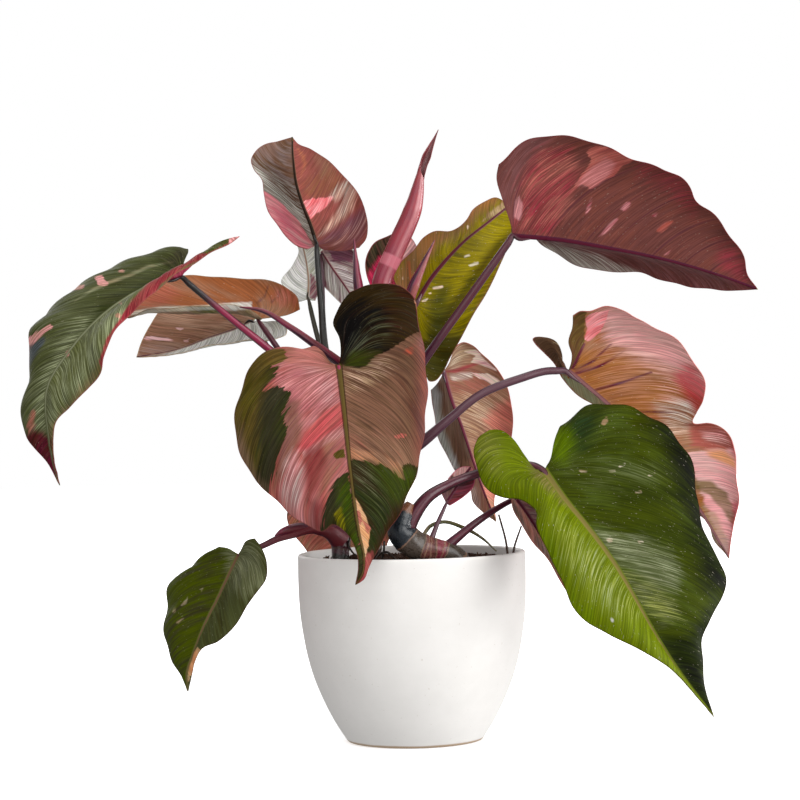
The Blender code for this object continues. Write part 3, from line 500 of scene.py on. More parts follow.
        right=[(-135, 150, -30), (-130, 156, -38), (-125, 159, -44), (-120, 152, -50), (-115, 139, -57),
               (-116, 127, -60), (-122, 118, -62), (-131, 105, -62), (-141, 89, -60), (-154, 77, -56),
               (-167, 71, -51), (-172, 62, -48), (-175, 50, -45)],
        left=[(-144, 150, -22), (-154, 152, -15), (-163, 148, -8), (-176, 135, 0), (-186, 130, 4),
              (-193, 121, 2), (-195, 105, -5), (-196, 78, -20), (-191, 63, -30), (-183, 49, -37)]),
    "back": Leaf(
        shows=LOWER, crown=5, notch=(2, 2), radii=(3.6, 2.2),
        stalk=[(-54, 159, 0), (-51, 205, 16), (-52, 232, 36), (-50, 240, 54), (-49, 238, 59)],
        rib=[(-49, 237, 60), (-53, 205, 85), (-57, 174, 100), (-60, 142, 108), (-62, 102, 112)],
        right=[(-44, 243, 58), (-34, 245, 58), (-24, 235, 62), (-18, 210, 75), (-16, 185, 88),
               (-16, 166, 96), (-21, 150, 102), (-33, 130, 107), (-49, 112, 111)],
        left=[(-54, 243, 58), (-66, 243, 58), (-77, 233, 63), (-88, 211, 76), (-96, 189, 88),
              (-99, 177, 95), (-95, 163, 100), (-84, 150, 105), (-73, 128, 110)]),
    "crown": Leaf(
        shows=LOWER, crown=3, notch=(2, 2), radii=(3.0, 1.8),
        stalk=[(-22, 318, 14), (-22, 333, 30), (-20, 343, 44), (-19, 347, 49)],
        rib=[(-19, 348, 50), (-17, 365, 53), (-14, 385, 57), (-11, 403, 62)],
        right=[(-23, 348, 49), (-31, 354, 48), (-36, 368, 50), (-35, 386, 54), (-30, 394, 57),
               (-20, 399, 60)],
        left=[(-15, 348, 52), (-8, 355, 58), (-1, 373, 62), (4, 390, 64), (-3, 400, 64)]),
    "under": Leaf(
        shows=UPPER, crown=4, notch=(2, 1), radii=(3.4, 2.2),
        stalk=[(27, 152, -56), (53, 173, -48), (77, 188, -37), (81, 190, -35)],
        rib=[(82, 191, -35), (94, 174, -45), (110, 146, -58), (130, 114, -72), (141, 97, -78)],
        right=[(86, 194, -32), (102, 194, -28), (118, 186, -30), (142, 166, -42), (153, 134, -58),
               (156, 106, -74)],
        left=[(79, 190, -39), (80, 183, -45), (87, 170, -55), (95, 157, -62), (108, 142, -70),
              (122, 118, -78), (133, 102, -79)]),
}

# Stems, the rolled leaf and its sheaths, twigs, the wing along the low stalk, air roots and the
# withered strap: the middle line and the radius at each of its points
STEMS = {
    "main": ([(-33, 122, 14), (-31, 170, 13), (-27, 230, 11), (-25, 290, 8), (-22, 334, 6)],
             [8, 8.5, 8.5, 7.5, 6.0]),
    "left": ([(-57, 122, -6), (-57, 142, -6), (-56, 154, -4), (-53, 166, 0)], [7.5, 7.0, 7.5, 5.5]),
    "elbow": ([(44, 128, -54), (37, 143, -55), (24, 149, -57), (11, 151, -58), (-1, 156, -60),
               (-9, 166, -62), (-6, 178, -62), (-1, 187, -61)],
              [6.0, 7.5, 8.5, 10.5, 11.5, 10.5, 7.5, 3.0]),
}
ROLL = ([(-22, 330, 6), (-24, 345, 6), (-24, 361, 5), (-14.5, 385, 4), (1, 421, 2), (9, 456, 0),
         (21, 484, -5)], [4.2, 5.8, 7.2, 7.8, 6.8, 3.0, 0.5])
SHEATHS = {
    "left": ([(-32, 324, 9), (-40, 345, 10), (-43, 362, 11), (-46, 397, 12)], [4.0, 5.2, 4.6, 0.5]),
    "right": ([(-14, 326, 3), (-5, 343, -1), (2, 361, -4), (18, 396, -5)], [4.0, 5.6, 5.2, 0.5]),
    "long": ([(-31, 279, 1), (-45, 289, -9), (-59, 300, -14), (-77, 313, -15), (-97, 327, -15),
              (-119, 340, -14), (-137, 343, -12)], [4.2, 4.6, 4.4, 3.8, 3.0, 2.2, 0.6]),
}
TWIGS = {
    "left": ([(77, 128, -12), (75, 155, -12), (69, 178, -12)], [1.1, 1.0, 0.8]),
    "right": ([(80, 128, -2), (81, 150, -2), (87, 169, -2)], [1.1, 1.0, 0.7]),
}
WING = ([(-108.9, 160.9, -20), (-104.1, 164, -18), (-97.7, 166.4, -17), (-89.8, 168, -15),
         (-81.8, 167.2, -13), (-74.7, 164, -11), (-69, 161, -8)], [0.8, 3.0, 4.0, 4.4, 4.0, 3.2, 1.4])
ROOTS = (
    ([(-49, 160, -8), (-50.5, 153.7, -10), (-48, 148.9, -12), (-42.9, 144, -13)], [0.9, 1.0, 0.8, 0.5]),
    ([(-22, 157, -45), (-22.3, 150, -46), (-24, 141, -45)], [0.8, 1.0, 0.9]),
    ([(-29, 142, -48), (-25, 146.8, -49), (-20, 148, -50), (-13, 142, -50)], [0.9, 1.0, 1.0, 0.8]),
)
STRAP = ([(8, 160, -49), (15, 169, -44), (24, 172, -40), (42, 167, -34), (56, 159, -26), (67, 149, -18)],
         [2.2, 2.2, 2.0, 2.2, 1.6, 0.8])

# Colours by name, as red, green and blue in hexadecimal
PALETTE = {
    "apricot": "dca072", "ash": "8f7a74", "bark": "5a3f30", "blush": "e8c4ae", "brass": "8f8048",
    "brick": "92504b", "bronze": "45221b", "cameo": "dcb48e", "cherry": "9e1f4a", "chestnut": "7c4a42",
    "coffee": "4a342a", "copper": "9c6846", "coral": "cf7268", "cream": "e6dcc4", "crimson": "a03c4c",
    "dusk": "63564c", "ember": "c4553c", "fawn": "8f7462", "fern": "48520f", "flush": "db686c",
    "forest": "2a3208", "garnet": "7e2f36", "gold": "85781d", "grape": "4a1f38", "grass": "6f8020",
    "grove": "55632c", "honey": "b98048", "ink": "181206", "jet": "0f0f0a", "khaki": "6b5a30",
    "leafy": "46640f", "lichen": "5a5d42", "lime": "a8a030", "lush": "6f8a14", "maroon": "6e4440",
    "mauve": "8a5f60", "meadow": "434c13", "midnight": "1d2833", "mint": "a5ac88", "mocha": "6e5240",
    "moss": "45492c", "moutarde": "9b8c1a", "ochre": "a06a3e", "olive": "625a26", "orchid": "e47b8a",
    "peach": "c98862", "pear": "768428", "pearl": "dcdcd2", "petal": "e8a2a4", "pine": "2e2f12",
    "plum": "6a4550", "reed": "929449", "rose": "d4587a", "rosewood": "b0605a", "ruby": "b23a46",
    "rust": "9c6040", "sage": "38381e", "salmon": "cb7c70", "sand": "a58e6e", "shade": "3e3b2b",
    "shell": "d8aca8", "silver": "b6bab0", "slate": "525860", "soot": "1c1a16", "spruce": "383e1a",
    "stone": "84876a", "straw": "a3a65f", "tan": "9c7862", "taupe": "7f5c4b", "teal": "2c4530",
    "umber": "33270c", "willow": "5c6130", "wine": "5a1f30",
}

# A patch of colour. colour and accent: the patch and the streaks in it. half says which half of the
# blade it is on: 1 the right, -1 the left, 0 both. ragged is how far its border frays along the
# veins, in mm. cover is how much of the patch the colour takes. outline is in pixels of the front
# view, one loop or a list of loops. threads says how far the patch is broken up into lines along
# the veins, from 0 to 1. soft is how many mm the border takes to fade. Some patches are painted
# light: sheen, highlights, glow and shade, as said beside them.
Area = namedtuple("Area", "name colour accent half ragged cover outline threads soft", defaults=(0.0, 0.0))

# right and left: the deep, main and light colours of the two halves. back: those of the hidden
# face. vein: colour, strength, and gap between side veins in mm. rib: colour and its two edge lines.
# silver, the strength of a painted sheen in pale streaks, and specks are strengths from 0 to 1. gain
# lightens all of a leaf's colours. lines is the strength of the fine streaks along the veins.
Coat = namedtuple("Coat", "gain right left back vein rib edge silver specks areas lines", defaults=(1.0,))
COATS = {
    "front": Coat(
        gain=0.95, right=("mocha", "taupe", "taupe"), left=("rosewood", "salmon", "petal"),
        back=("maroon", "mauve", "rosewood"), vein=("bronze", 0.12, 15), rib=("khaki", "umber"),
        edge="brick", silver=0.06, specks=0.1, areas=[
            # Painted sheen: pale streaks fanning out from the sinus
            Area("painted sheen fan", "sand", "blush", 1, 4, 0.75, [(342, 368), (362, 364), (388, 356), (396, 366),
                (372, 386), (346, 392)], 1.0, 5),
            Area("pink margin", "rosewood", "mauve", 1, 4, 0.8, [(416, 338), (432, 338), (434, 440),
                (426, 476), (416, 484), (412, 440), (416, 400)], 0.2, 5),
            Area("right dusk", "mocha", "bronze", 1, 6, 0.85, [(392, 352), (414, 344), (424, 360),
                (424, 440), (416, 470), (400, 452), (404, 400)], 0.3, 8),
            Area("tan foot", "tan", "rosewood", 1, 6, 0.4, [(348, 432), (380, 434), (410, 446), (422, 468),
                (404, 476), (380, 462), (350, 456)], 0.6, 6),
            Area("dark lobe", "ink", "umber", 1, 2, 1, [(330, 366), (342, 365), (352, 367), (360, 368),
                (368, 364), (374, 357), (390, 349), (404, 341), (414, 334), (440, 318), (440, 270),
                (320, 270)]),
            Area("lobe glow", "bronze", "umber", 1, 8, 0.8, [(384, 288), (400, 282), (416, 292), (426, 306),
                (426, 330), (408, 338), (392, 334)], 0, 9),
            Area("sinus green", "fern", "sage", 1, 3, 0.6, [(344, 366), (352, 352), (366, 350), (380, 352),
                (368, 366)], 0, 3),
            # Painted sheen in grey lines low on the dark lobe, near the sinus
            Area("lobe sheen lines", "stone", "moss", 1, 4, 0.4, [(350, 352), (360, 330), (376, 314), (392, 318),
                (390, 338), (370, 350)], 1.0, 6),
            Area("pale rim", "blush", "peach", 1, 1, 0.9, [(414, 300), (421, 300), (430, 322), (429, 345),
                (424, 345), (420, 322)]),
            Area("ember", "ember", "brick", 1, 3, 0.7, [(404, 352), (414, 343), (416, 348),
                (406, 358)], 0.5, 1),
            Area("coral dash", "coral", "brick", 1, 1, 0.8, [(394, 436), (402, 433), (408, 434), (404, 438),
                (396, 439)]),
            Area("peach teeth", "tan", "peach", 1, 4, 0.7, [(347, 450), (372, 450), (392, 458), (402, 464),
                (404, 478), (396, 478), (384, 466), (366, 460), (348, 460)], 0.3, 1),
            Area("lower green", "umber", "forest", 1, 3, 1, [(344, 459), (364, 462), (377, 464), (392, 470),
                (399, 478), (405, 480), (402, 466), (408, 463), (416, 466), (430, 470), (425, 505),
                (400, 540), (375, 575), (358, 590), (340, 590)]),
            # Painted highlight: brighter green streaks on the dark lower half
            Area("bright green highlight", "leafy", "fern", 1, 6, 0.4, [(370, 462), (392, 470), (404, 468),
                (418, 468), (414, 490), (402, 508), (390, 502), (380, 484)], 0.2, 6),
            Area("low sheen", "stone", "moss", 1, 4, 0.55, [(350, 464), (372, 470), (386, 490), (388, 520),
                (376, 528), (362, 494)], 1.0, 5),
            Area("edge olive", "umber", "bronze", 1, 4, 0.8, [(394, 512), (410, 492), (422, 474),
                (428, 480), (400, 540), (374, 572), (368, 566), (380, 540)], 0, 4),
            Area("tip", "rosewood", "crimson", 0, 2, 0.9, [(350, 560), (372, 552), (372, 590),
                (350, 592)], 0, 2),
            Area("cream patch", "cameo", "apricot", 1, 1, 1, [(346, 482), (350, 490), (358, 502),
                (366, 516), (370, 530), (368, 547), (364, 560), (361, 557), (359, 537), (354, 519),
                (349, 498)]),
            Area("patch flecks", "crimson", "rosewood", 1, 2, 0.75, [
                [(355, 512), (359, 510), (362, 520), (360, 526)],
                [(364, 522), (370, 524), (369, 534), (365, 530)]]),
            Area("tan top", "tan", "salmon", -1, 4, 0.8, [(288, 346), (326, 344), (342, 366), (338, 376),
                (308, 370), (284, 362)], 0.2, 3),
            Area("crimson cloud", "petal", "crimson", -1, 8, 0.8, [(272, 374), (300, 368), (334, 382),
                (340, 402), (316, 414), (290, 412), (280, 394)], 0.45, 5),
            # Painted highlight: pale pink along the rib
            Area("pale highlight shoulder", "petal", "shell", -1, 5, 0.9, [(302, 364), (336, 372), (344, 430),
                (336, 440), (324, 408), (312, 386)], 0.8, 6),
            Area("grey strip", "mocha", "taupe", -1, 4, 0.85, [(278, 392), (300, 404), (302, 436),
                (292, 462), (282, 480), (272, 492), (276, 450), (274, 420)], 0.3, 4),
            Area("bright band", "flush", "coral", -1, 3, 0.95, [(296, 452), (304, 432), (324, 412),
                (346, 400), (346, 420), (330, 436), (308, 452)], 0.2, 1.5),
            Area("pale line", "shell", "petal", -1, 3, 0.7, [(300, 452), (326, 436), (346, 424), (346, 434),
                (328, 444), (304, 458)], 0.6, 1),
            Area("brown heart", "tan", "rosewood", -1, 5, 0.85, [(322, 444), (345, 438), (347, 470),
                (330, 486), (318, 500), (324, 466)], 0.3, 4),
            # A dark crimson streak, partly the leaf's own red and partly painted shade
            Area("red shaded streak", "garnet", "brick", -1, 4, 0.85, [(306, 448), (322, 444), (328, 462),
                (318, 488), (308, 502), (303, 470)], 0.35, 4),
            Area("highlight", "petal", "pearl", -1, 4, 0.95, [(286, 462), (296, 450), (302, 470),
                (300, 500), (292, 514), (282, 492)], 0.5, 5),
            # Painted shade in a fold of the blade
            Area("shaded fold", "garnet", "bronze", -1, 3, 0.7, [(308, 500), (322, 500), (328, 512),
                (324, 536), (312, 530)], 0.3, 4),
            Area("dark side", "shade", "spruce", -1, 5, 1, [(250, 346), (262, 350), (268, 362), (278, 368),
                (272, 380), (264, 392), (277, 386), (291, 391), (284, 416), (287, 431), (283, 449),
                (277, 470), (267, 493), (240, 480), (215, 430), (220, 380)]),
            Area("olive side", "khaki", "olive", -1, 6, 0.9, [(226, 370), (244, 350), (264, 354),
                (272, 368), (262, 394), (256, 430), (258, 470), (240, 480), (215, 430)], 0.1, 6),
            Area("khaki rim", "fawn", "khaki", -1, 3, 0.8, [(226, 370), (246, 348), (240, 400), (243, 440),
                (256, 472), (268, 490), (240, 490), (215, 430)], 0.2, 4),
            Area("olive notch", "khaki", "olive", -1, 3, 0.95, [(250, 344), (270, 346), (284, 350),
                (288, 358), (276, 366), (268, 366), (258, 360)]),
            Area("lower dark", "shade", "sage", -1, 3, 1, [(322, 530), (326, 503), (336, 479), (348, 472),
                (360, 540), (372, 590), (350, 600), (334, 560)]),
            Area("lower green left", "fern", "leafy", -1, 4, 0.8, [(338, 486), (350, 476), (356, 520),
                (362, 560), (352, 560), (340, 520)], 0.2, 4),
            Area("lime flecks", "lime", "moutarde", -1, 2, 0.85, [(334, 514), (341, 506), (346, 530),
                (340, 534)], 0.5, 1),
            Area("small notch", "olive", "khaki", -1, 1, 1, [(332, 455), (338, 450), (344, 449), (346, 458),
                (336, 459)]),
        ]),
    "left": Coat(
        gain=1.38, right=("lichen", "lichen", "willow"), left=("moss", "lichen", "moss"),
        # The rib's pale crest is a painted highlight along the crease of the rib
        back=("garnet", "rose", "orchid"), vein=("spruce", 0.1, 13), rib=("stone", "lichen"), edge="brick",
        silver=0.08, specks=0.2, areas=[
            Area("green top", "moss", "sage", -1, 6, 0.9, [(70, 310), (100, 284), (150, 256), (190, 244),
                (190, 262), (150, 276), (110, 296), (84, 316)], 0, 6),
            Area("dark field", "pine", "forest", -1, 4, 0.8, [(80, 336), (96, 304), (130, 288), (168, 268),
                (160, 284), (120, 308), (100, 324), (86, 342)], 0, 5),
            # Painted sheen: silvery streaks along the rib's lower part
            Area("painted sheen field", "mint", "stone", -1, 5, 0.85, [(34, 410), (44, 376), (58, 346), (80, 318),
                (96, 312), (84, 336), (62, 364), (52, 392), (44, 424), (32, 430)], 0.85, 7),
            # Painted highlight along a side vein
            Area("pale line", "stone", "sand", -1, 0.6, 0.8, [(174, 262), (150, 268), (130, 277),
                (110, 284), (92, 292), (74, 302), (92, 289), (110, 281), (130, 274), (150, 265)], 0, 0.7),
            # Painted sheen: silvery green streaks over the right half
            Area("right painted sheen", "mint", "stone", 1, 5, 0.8, [(50, 400), (56, 372), (80, 344), (104, 318),
                (130, 304), (120, 322), (102, 346), (84, 384), (62, 404), (50, 430)], 0.9, 6),
            Area("brown shoulder", "khaki", "fawn", 1, 5, 0.75, [(48, 430), (66, 408), (90, 380),
                (106, 352), (106, 372), (84, 402), (64, 422), (50, 446)], 0.3, 4),
            Area("fold", "garnet", "brick", 1, 1, 1, [(242, 234), (204, 248), (176, 260), (154, 276),
                (136, 296), (122, 315), (106, 340), (99, 362), (104, 372), (114, 352), (132, 320),
                (147, 302), (162, 284), (184, 268), (210, 256), (240, 246)], 0, 0.5),
            Area("fold rim", "cream", "silver", 1, 0.5, 0.9, [(204, 247), (176, 259), (152, 275),
                (140, 288), (139, 286), (150, 272), (175, 256), (203, 245)]),
            Area("tan patches", "tan", "petal", 0, 0.8, 0.95, [
                [(93, 277), (103, 275), (105, 281), (110, 284), (106, 287), (98, 286), (97, 281)],
                [(118, 271), (123, 269), (125, 272), (120, 274)],
                [(67, 289), (76, 286), (85, 285), (85, 288), (75, 291)],
                [(114, 316), (118, 313), (123, 315), (119, 319)],
                [(118, 303), (121, 300), (122, 305)],
                [(65, 354), (69, 349), (70, 355), (67, 358)]]),
            Area("side patch", "tan", "petal", 0, 1.5, 0.95, [(27, 346), (30, 337), (40, 330), (51, 323),
                (53, 328), (44, 335), (34, 345), (29, 352)]),
            Area("slate patch", "slate", "soot", 0, 1.5, 0.85, [(26, 348), (36, 342), (46, 334), (44, 343),
                (36, 355), (30, 366), (26, 358)], 0, 1),
            Area("red dash", "rosewood", "fawn", 0, 2, 0.75, [(26, 426), (32, 411), (36, 410), (35, 426),
                (32, 442), (29, 438)], 0.2, 0.6),
            Area("red tip", "wine", "bronze", 0, 3, 1, [(20, 440), (33, 430), (42, 433), (52, 440),
                (54, 456), (64, 476), (64, 494), (44, 474), (28, 456)], 0, 3),
            Area("dark lobe tip", "moss", "shade", 0, 2, 0.8, [(164, 264), (175, 250), (188, 244),
                (192, 252), (180, 264), (172, 270)], 0, 2),
            Area("near lobe", "fern", "moss", 0, 2, 0.95, [(200, 254), (210, 242), (232, 234), (234, 240),
                (222, 247), (206, 254)], 0, 0.6),
            Area("lobe end", "tan", "petal", 0, 1, 1, [(229, 236), (241, 232), (241, 246), (229, 246)]),
        ]),
    "rust": Coat(
        gain=1.15, right=("rust", "rust", "tan"), left=("rust", "rust", "tan"),
        # The hidden face's sand tones partly stand for the cream highlight along the blade's lower edge
        back=("sand", "fawn", "willow"), vein=("bark", 0.25, 16), rib=("bark", "rust"), edge="sand",
        silver=0.03, specks=0.35, lines=0.6, areas=[
            Area("pink end", "rosewood", "tan", 0, 6, 0.6, [(130, 312), (150, 284), (172, 276), (182, 290),
                (164, 310)], 0.3, 8),
            Area("red end", "brick", "coral", 0, 5, 0.6, [(270, 300), (280, 284), (302, 288), (302, 304),
                (280, 306)], 0.4, 4),
            Area("arcs", "bark", "plum", 0, 0.4, 0.7, [
                [(256, 303), (264, 296), (268, 284), (269, 285), (266, 297), (258, 304)],
                [(270, 302), (278, 296), (281, 284), (282, 285), (279, 297), (271, 304)]], 0, 0.4),
            # Painted highlight along the glossy near edge
            Area("cream highlight rim", "cream", "silver", 0, 0.6, 0.85, [(130, 312), (160, 307), (200, 306),
                (240, 303), (240, 309), (200, 310), (160, 312), (130, 316)], 0, 0.4),
            # Painted highlight where the near edge is brightest
            Area("pale highlight foot", "pearl", "shell", 0, 1, 0.9, [(219, 304), (252, 302), (252, 309),
                (222, 311)], 0, 0.6),
        ]),
    "brown": Coat(
        gain=2.1, right=("silver", "silver", "pearl"), left=("mocha", "taupe", "fawn"),
        back=("pine", "meadow", "willow"), vein=("mocha", 0.15, 13), rib=("grape", "fawn"), edge="sand",
        silver=0.06, specks=0.15, areas=[
            Area("pink streak", "petal", "salmon", 0, 1.5, 0.9, [(142, 338), (152, 336), (168, 338),
                (174, 341), (160, 341), (146, 340)]),
            Area("pink dashes", "petal", "tan", 0, 1, 0.9, [
                [(183, 340), (190, 339), (189, 342), (184, 342)],
                [(176, 328), (184, 329), (180, 331)]]),
            Area("tan end", "taupe", "ash", 0, 6, 0.8, [(130, 356), (150, 344), (180, 346), (160, 362),
                (134, 364)], 0.2, 3),
            Area("white low", "pearl", "silver", 1, 3, 0.9, [(150, 362), (190, 346), (228, 332), (262, 318),
                (292, 322), (288, 340), (240, 342), (200, 354), (160, 364)], 0.1, 2),
        ]),
    "upper": Coat(
        gain=1.15, right=("mocha", "ash", "taupe"), left=("chestnut", "brick", "chestnut"),
        back=("pine", "meadow", "moss"), vein=("grape", 0.12, 11), rib=("soot", "mocha"), edge="brick",
        silver=0.1, specks=0.1, lines=0.6, areas=[
            Area("dark band", "mocha", "soot", 1, 4, 0.6, [(262, 176), (290, 186), (306, 210), (312, 236),
                (300, 216), (280, 200), (264, 190)], 0.3, 3),
            # Painted sheen in silvery arcs
            Area("painted sheen arcs", "silver", "pearl", 1, 4, 0.8, [(254, 160), (276, 172), (300, 196),
                (316, 240), (306, 232), (288, 212), (266, 194), (252, 178)], 1.0, 6),
            # Painted highlight along the fold between the grey and the pink
            Area("painted light rim", "pearl", "silver", 1, 3, 0.85, [(250, 164), (258, 172), (276, 190),
                (296, 206), (312, 226), (318, 246), (302, 228), (280, 212), (262, 196),
                (250, 178)], 0.6, 1.5),
            Area("pink sector", "petal", "orchid", 1, 1.5, 1, [(258, 188), (270, 194), (284, 206),
                (300, 222), (314, 246), (314, 254), (304, 254), (290, 245), (276, 228), (260, 206)]),
            Area("pink core", "rose", "flush", 1, 3, 0.55, [(272, 206), (288, 217), (306, 240), (312, 248),
                (298, 245), (282, 228)], 0.2, 2),
            Area("pale stripe", "shell", "petal", 1, 0.4, 0.8, [(286, 226), (302, 238), (314, 246),
                (313, 248), (300, 241), (286, 229)], 0, 0.5),
            Area("warm top", "chestnut", "brick", -1, 6, 0.7, [(294, 140), (330, 156), (348, 176),
                (338, 192), (312, 192), (298, 176)], 0.2, 5),
            Area("tan sweep", "tan", "rosewood", -1, 4, 0.7, [(316, 156), (336, 160), (350, 178),
                (338, 186), (322, 176)], 0.3, 5),
            Area("olive arcs", "khaki", "olive", -1, 5, 0.35, [(302, 184), (328, 168), (344, 176),
                (336, 192), (312, 198), (303, 194)], 0.6, 3),
            Area("amber arc", "peach", "honey", -1, 2, 0.3, [(297, 148), (304, 154), (307, 164), (300, 178),
                (303, 164)], 0.4, 1),
            Area("pink patch", "flush", "petal", -1, 1.5, 0.9, [(301, 202), (312, 199), (322, 198),
                (334, 195), (333, 199), (326, 207), (316, 214), (310, 220), (304, 212)]),
            # Painted sheen in pale streaks
            Area("high sheen arc", "blush", "silver", -1, 3, 0.85, [(328, 198), (340, 184), (348, 180),
                (356, 192), (352, 208), (344, 218), (330, 230), (318, 236), (334, 216), (343, 204),
                (344, 196), (336, 200)], 0.65, 2.5),
            Area("purple foot", "plum", "chestnut", -1, 4, 0.95, [(308, 246), (328, 234), (346, 220),
                (368, 206), (368, 230), (350, 250), (320, 250)], 0.2, 4),
            # Painted sheen in fine pale streaks
            Area("low sheen arc", "blush", "shell", -1, 3, 0.25, [(326, 242), (350, 226), (366, 208), (368, 220),
                (356, 238), (336, 246)], 0.95, 2),
        ]),
    "silver": Coat(
        gain=1.8, right=("silver", "pearl", "pearl"), left=("stone", "silver", "pearl"),
        back=("pine", "willow", "silver"), vein=("silver", 0.3, 9), rib=("fawn", "silver"), edge="silver",
        silver=0.3, specks=0.0, areas=[
            Area("plum side", "plum", "mauve", -1, 3, 0.95, [(303, 278), (312, 274), (320, 290), (318, 300),
                (306, 298)]),
        ]),
    "plum": Coat(
        gain=2.2, right=("plum", "ash", "silver"), left=("plum", "ash", "silver"),
        back=("pine", "moss", "silver"), vein=("plum", 0.4, 9), rib=("wine", "ash"), edge="silver",
        silver=0.3, specks=0.0, areas=[
            # Painted sheen in white threads
            Area("white sheen threads", "pearl", "silver", 0, 6, 0.8, [(326, 256), (346, 268), (366, 292),
                (356, 310), (340, 300), (324, 276)], 0.8),
            Area("dark top", "plum", "grape", 0, 5, 0.95, [(325, 236), (352, 236), (366, 250), (352, 262),
                (332, 262)]),
        ]),
    "olive": Coat(
        gain=1.2, right=("gold", "gold", "olive"), left=("olive", "gold", "gold"),
        back=("forest", "meadow", "willow"), vein=("umber", 0.08, 14), rib=("wine", "plum"), edge="brick",
        silver=0.02, specks=0.35, lines=0.8, areas=[
            # Painted glow of light shining through the blade
            Area("glow", "moutarde", "gold", 0, 8, 0.85, [(440, 312), (458, 262), (488, 226), (512, 218),
                (498, 262), (466, 310)], 0, 9),
            Area("brown rim", "taupe", "copper", 1, 5, 0.85, [(388, 302), (398, 262), (424, 230),
                (450, 230), (470, 204), (492, 194), (502, 200), (486, 212), (462, 234), (438, 246),
                (424, 264), (410, 300)], 0.1, 6),
            # Painted shadow cast by the maroon leaf's stalk
            Area("dark band", "umber", "forest", -1, 3, 0.8, [(418, 352), (436, 320), (466, 280),
                (496, 242), (512, 232), (498, 252), (466, 298), (440, 342)], 0, 4),
            Area("tan side", "taupe", "copper", -1, 4, 0.8, [(478, 308), (498, 272), (510, 236), (524, 246),
                (500, 300), (476, 336), (464, 344), (474, 318)], 0.1, 4),
            Area("grey foot", "sage", "umber", -1, 5, 0.9, [(412, 346), (440, 334), (466, 336), (458, 364),
                (438, 392), (414, 388)], 0.1, 4),
            Area("shaded foot", "forest", "sage", 0, 4, 0.75, [(424, 336), (430, 300), (440, 284),
                (450, 286), (450, 306), (440, 334)], 0.1, 6),
            Area("red spots", "ember", "brick", 1, 2, 0.6, [(406, 262), (411, 260), (413, 278),
                (409, 282)], 0.9, 0.6),
            Area("pale tip", "blush", "tan", 0, 1.5, 0.5, [(482, 222), (488, 213), (503, 203), (507, 207),
                (496, 216)], 0.2, 0.8),
            Area("flecks", "cream", "blush", 0, 0.6, 0.9, [
                [(468, 265), (478, 261), (479, 264), (470, 267)],
                [(463, 256), (469, 254), (470, 256), (464, 258)],
                [(432, 287), (443, 285), (443, 288), (433, 289)],
                [(421, 300), (428, 298), (428, 301), (422, 302)],
                [(459, 306), (468, 302), (466, 306), (461, 309)],
                [(401, 276), (404, 276), (403, 280)],
                [(466, 225), (469, 226), (468, 230)],
                [(428, 293), (431, 292), (431, 295)]]),
        ]),
    "maroon": Coat(
        gain=1.2, right=("maroon", "chestnut", "maroon"), left=("maroon", "mauve", "maroon"),
        back=("pine", "sage", "garnet"), vein=("grape", 0.32, 27), rib=("wine", "grape"), edge="garnet",
        silver=0.02, specks=0.25, lines=0.6, areas=[
            Area("purple lobe", "mauve", "maroon", 1, 6, 0.7, [(494, 190), (500, 150), (530, 134),
                (552, 138), (534, 158), (520, 180), (514, 220)], 0, 6),
            Area("crimson zone", "crimson", "salmon", 1, 8, 0.8, [(514, 232), (520, 176), (536, 152),
                (566, 148), (580, 168), (570, 206), (548, 234)], 0.55, 6),
            Area("upper crimson", "crimson", "garnet", 1, 8, 0.6, [(640, 160), (680, 170), (700, 200),
                (694, 214), (664, 190), (640, 176)], 0.7, 7),
            Area("pink patch", "rosewood", "salmon", 1, 2, 0.95, [(588, 148), (598, 145), (624, 152),
                (636, 162), (621, 166), (614, 177), (605, 179), (592, 190), (583, 184), (573, 187),
                (581, 174), (593, 160), (586, 154)]),
            Area("patch blush", "petal", "mauve", 1, 3, 0.6, [(576, 184), (592, 166), (606, 156),
                (616, 164), (606, 178), (592, 188)], 0.4, 2),
            Area("foot spot", "petal", "mauve", 1, 1.5, 0.85, [(514, 202), (519, 194), (523, 204),
                (521, 222), (514, 216)], 0.1, 0.6),
            Area("pink streaks", "petal", "crimson", 1, 1.5, 0.8, [
                [(597, 238), (606, 226), (617, 216), (617, 221), (607, 233)],
                [(620, 209), (628, 201), (631, 204), (624, 212)],
                [(650, 216), (658, 212), (656, 217)],
                [(664, 255), (671, 249), (668, 254)],
                [(560, 162), (563, 158), (562, 164)],
                [(586, 208), (592, 198), (590, 208), (586, 216)]], 0.2, 0.5),
            Area("orange streak", "ember", "coral", 1, 2, 0.9, [(656, 230), (664, 223), (672, 221),
                (668, 227), (660, 233)], 0.3, 1),
            Area("tip crimson", "crimson", "maroon", 0, 6, 0.6, [(716, 240), (736, 248), (758, 282),
                (750, 292), (732, 280), (718, 262)], 0.2, 6),
            Area("cream streaks", "pearl", "silver", -1, 3, 0.95, [(522, 238), (560, 246), (600, 256),
                (640, 272), (636, 280), (600, 274), (560, 262)], 0.7, 3),
            Area("grey wash", "silver", "ash", -1, 4, 0.6, [(530, 242), (590, 262), (620, 276), (590, 274),
                (556, 262)], 0.2, 4),
        ]),
    "rose": Coat(
        gain=1.9, right=("taupe", "taupe", "tan"), left=("mocha", "taupe", "fawn"),
        back=("pine", "meadow", "rosewood"), vein=("plum", 0.1, 12), rib=("wine", "plum"), edge="rosewood",
        silver=0.08, specks=0.1, lines=0.6, areas=[
            Area("brown bands", "brick", "mocha", 1, 4, 0.6, [(446, 380), (470, 366), (500, 372),
                (510, 392), (470, 396), (450, 390)], 0.2, 5),
            Area("top cream", "blush", "sand", 1, 3, 0.75, [(446, 362), (458, 344), (472, 350), (470, 360),
                (452, 368)], 0.85, 3),
            Area("top pink", "petal", "blush", 1, 1.5, 0.95, [(464, 352), (476, 350), (486, 360),
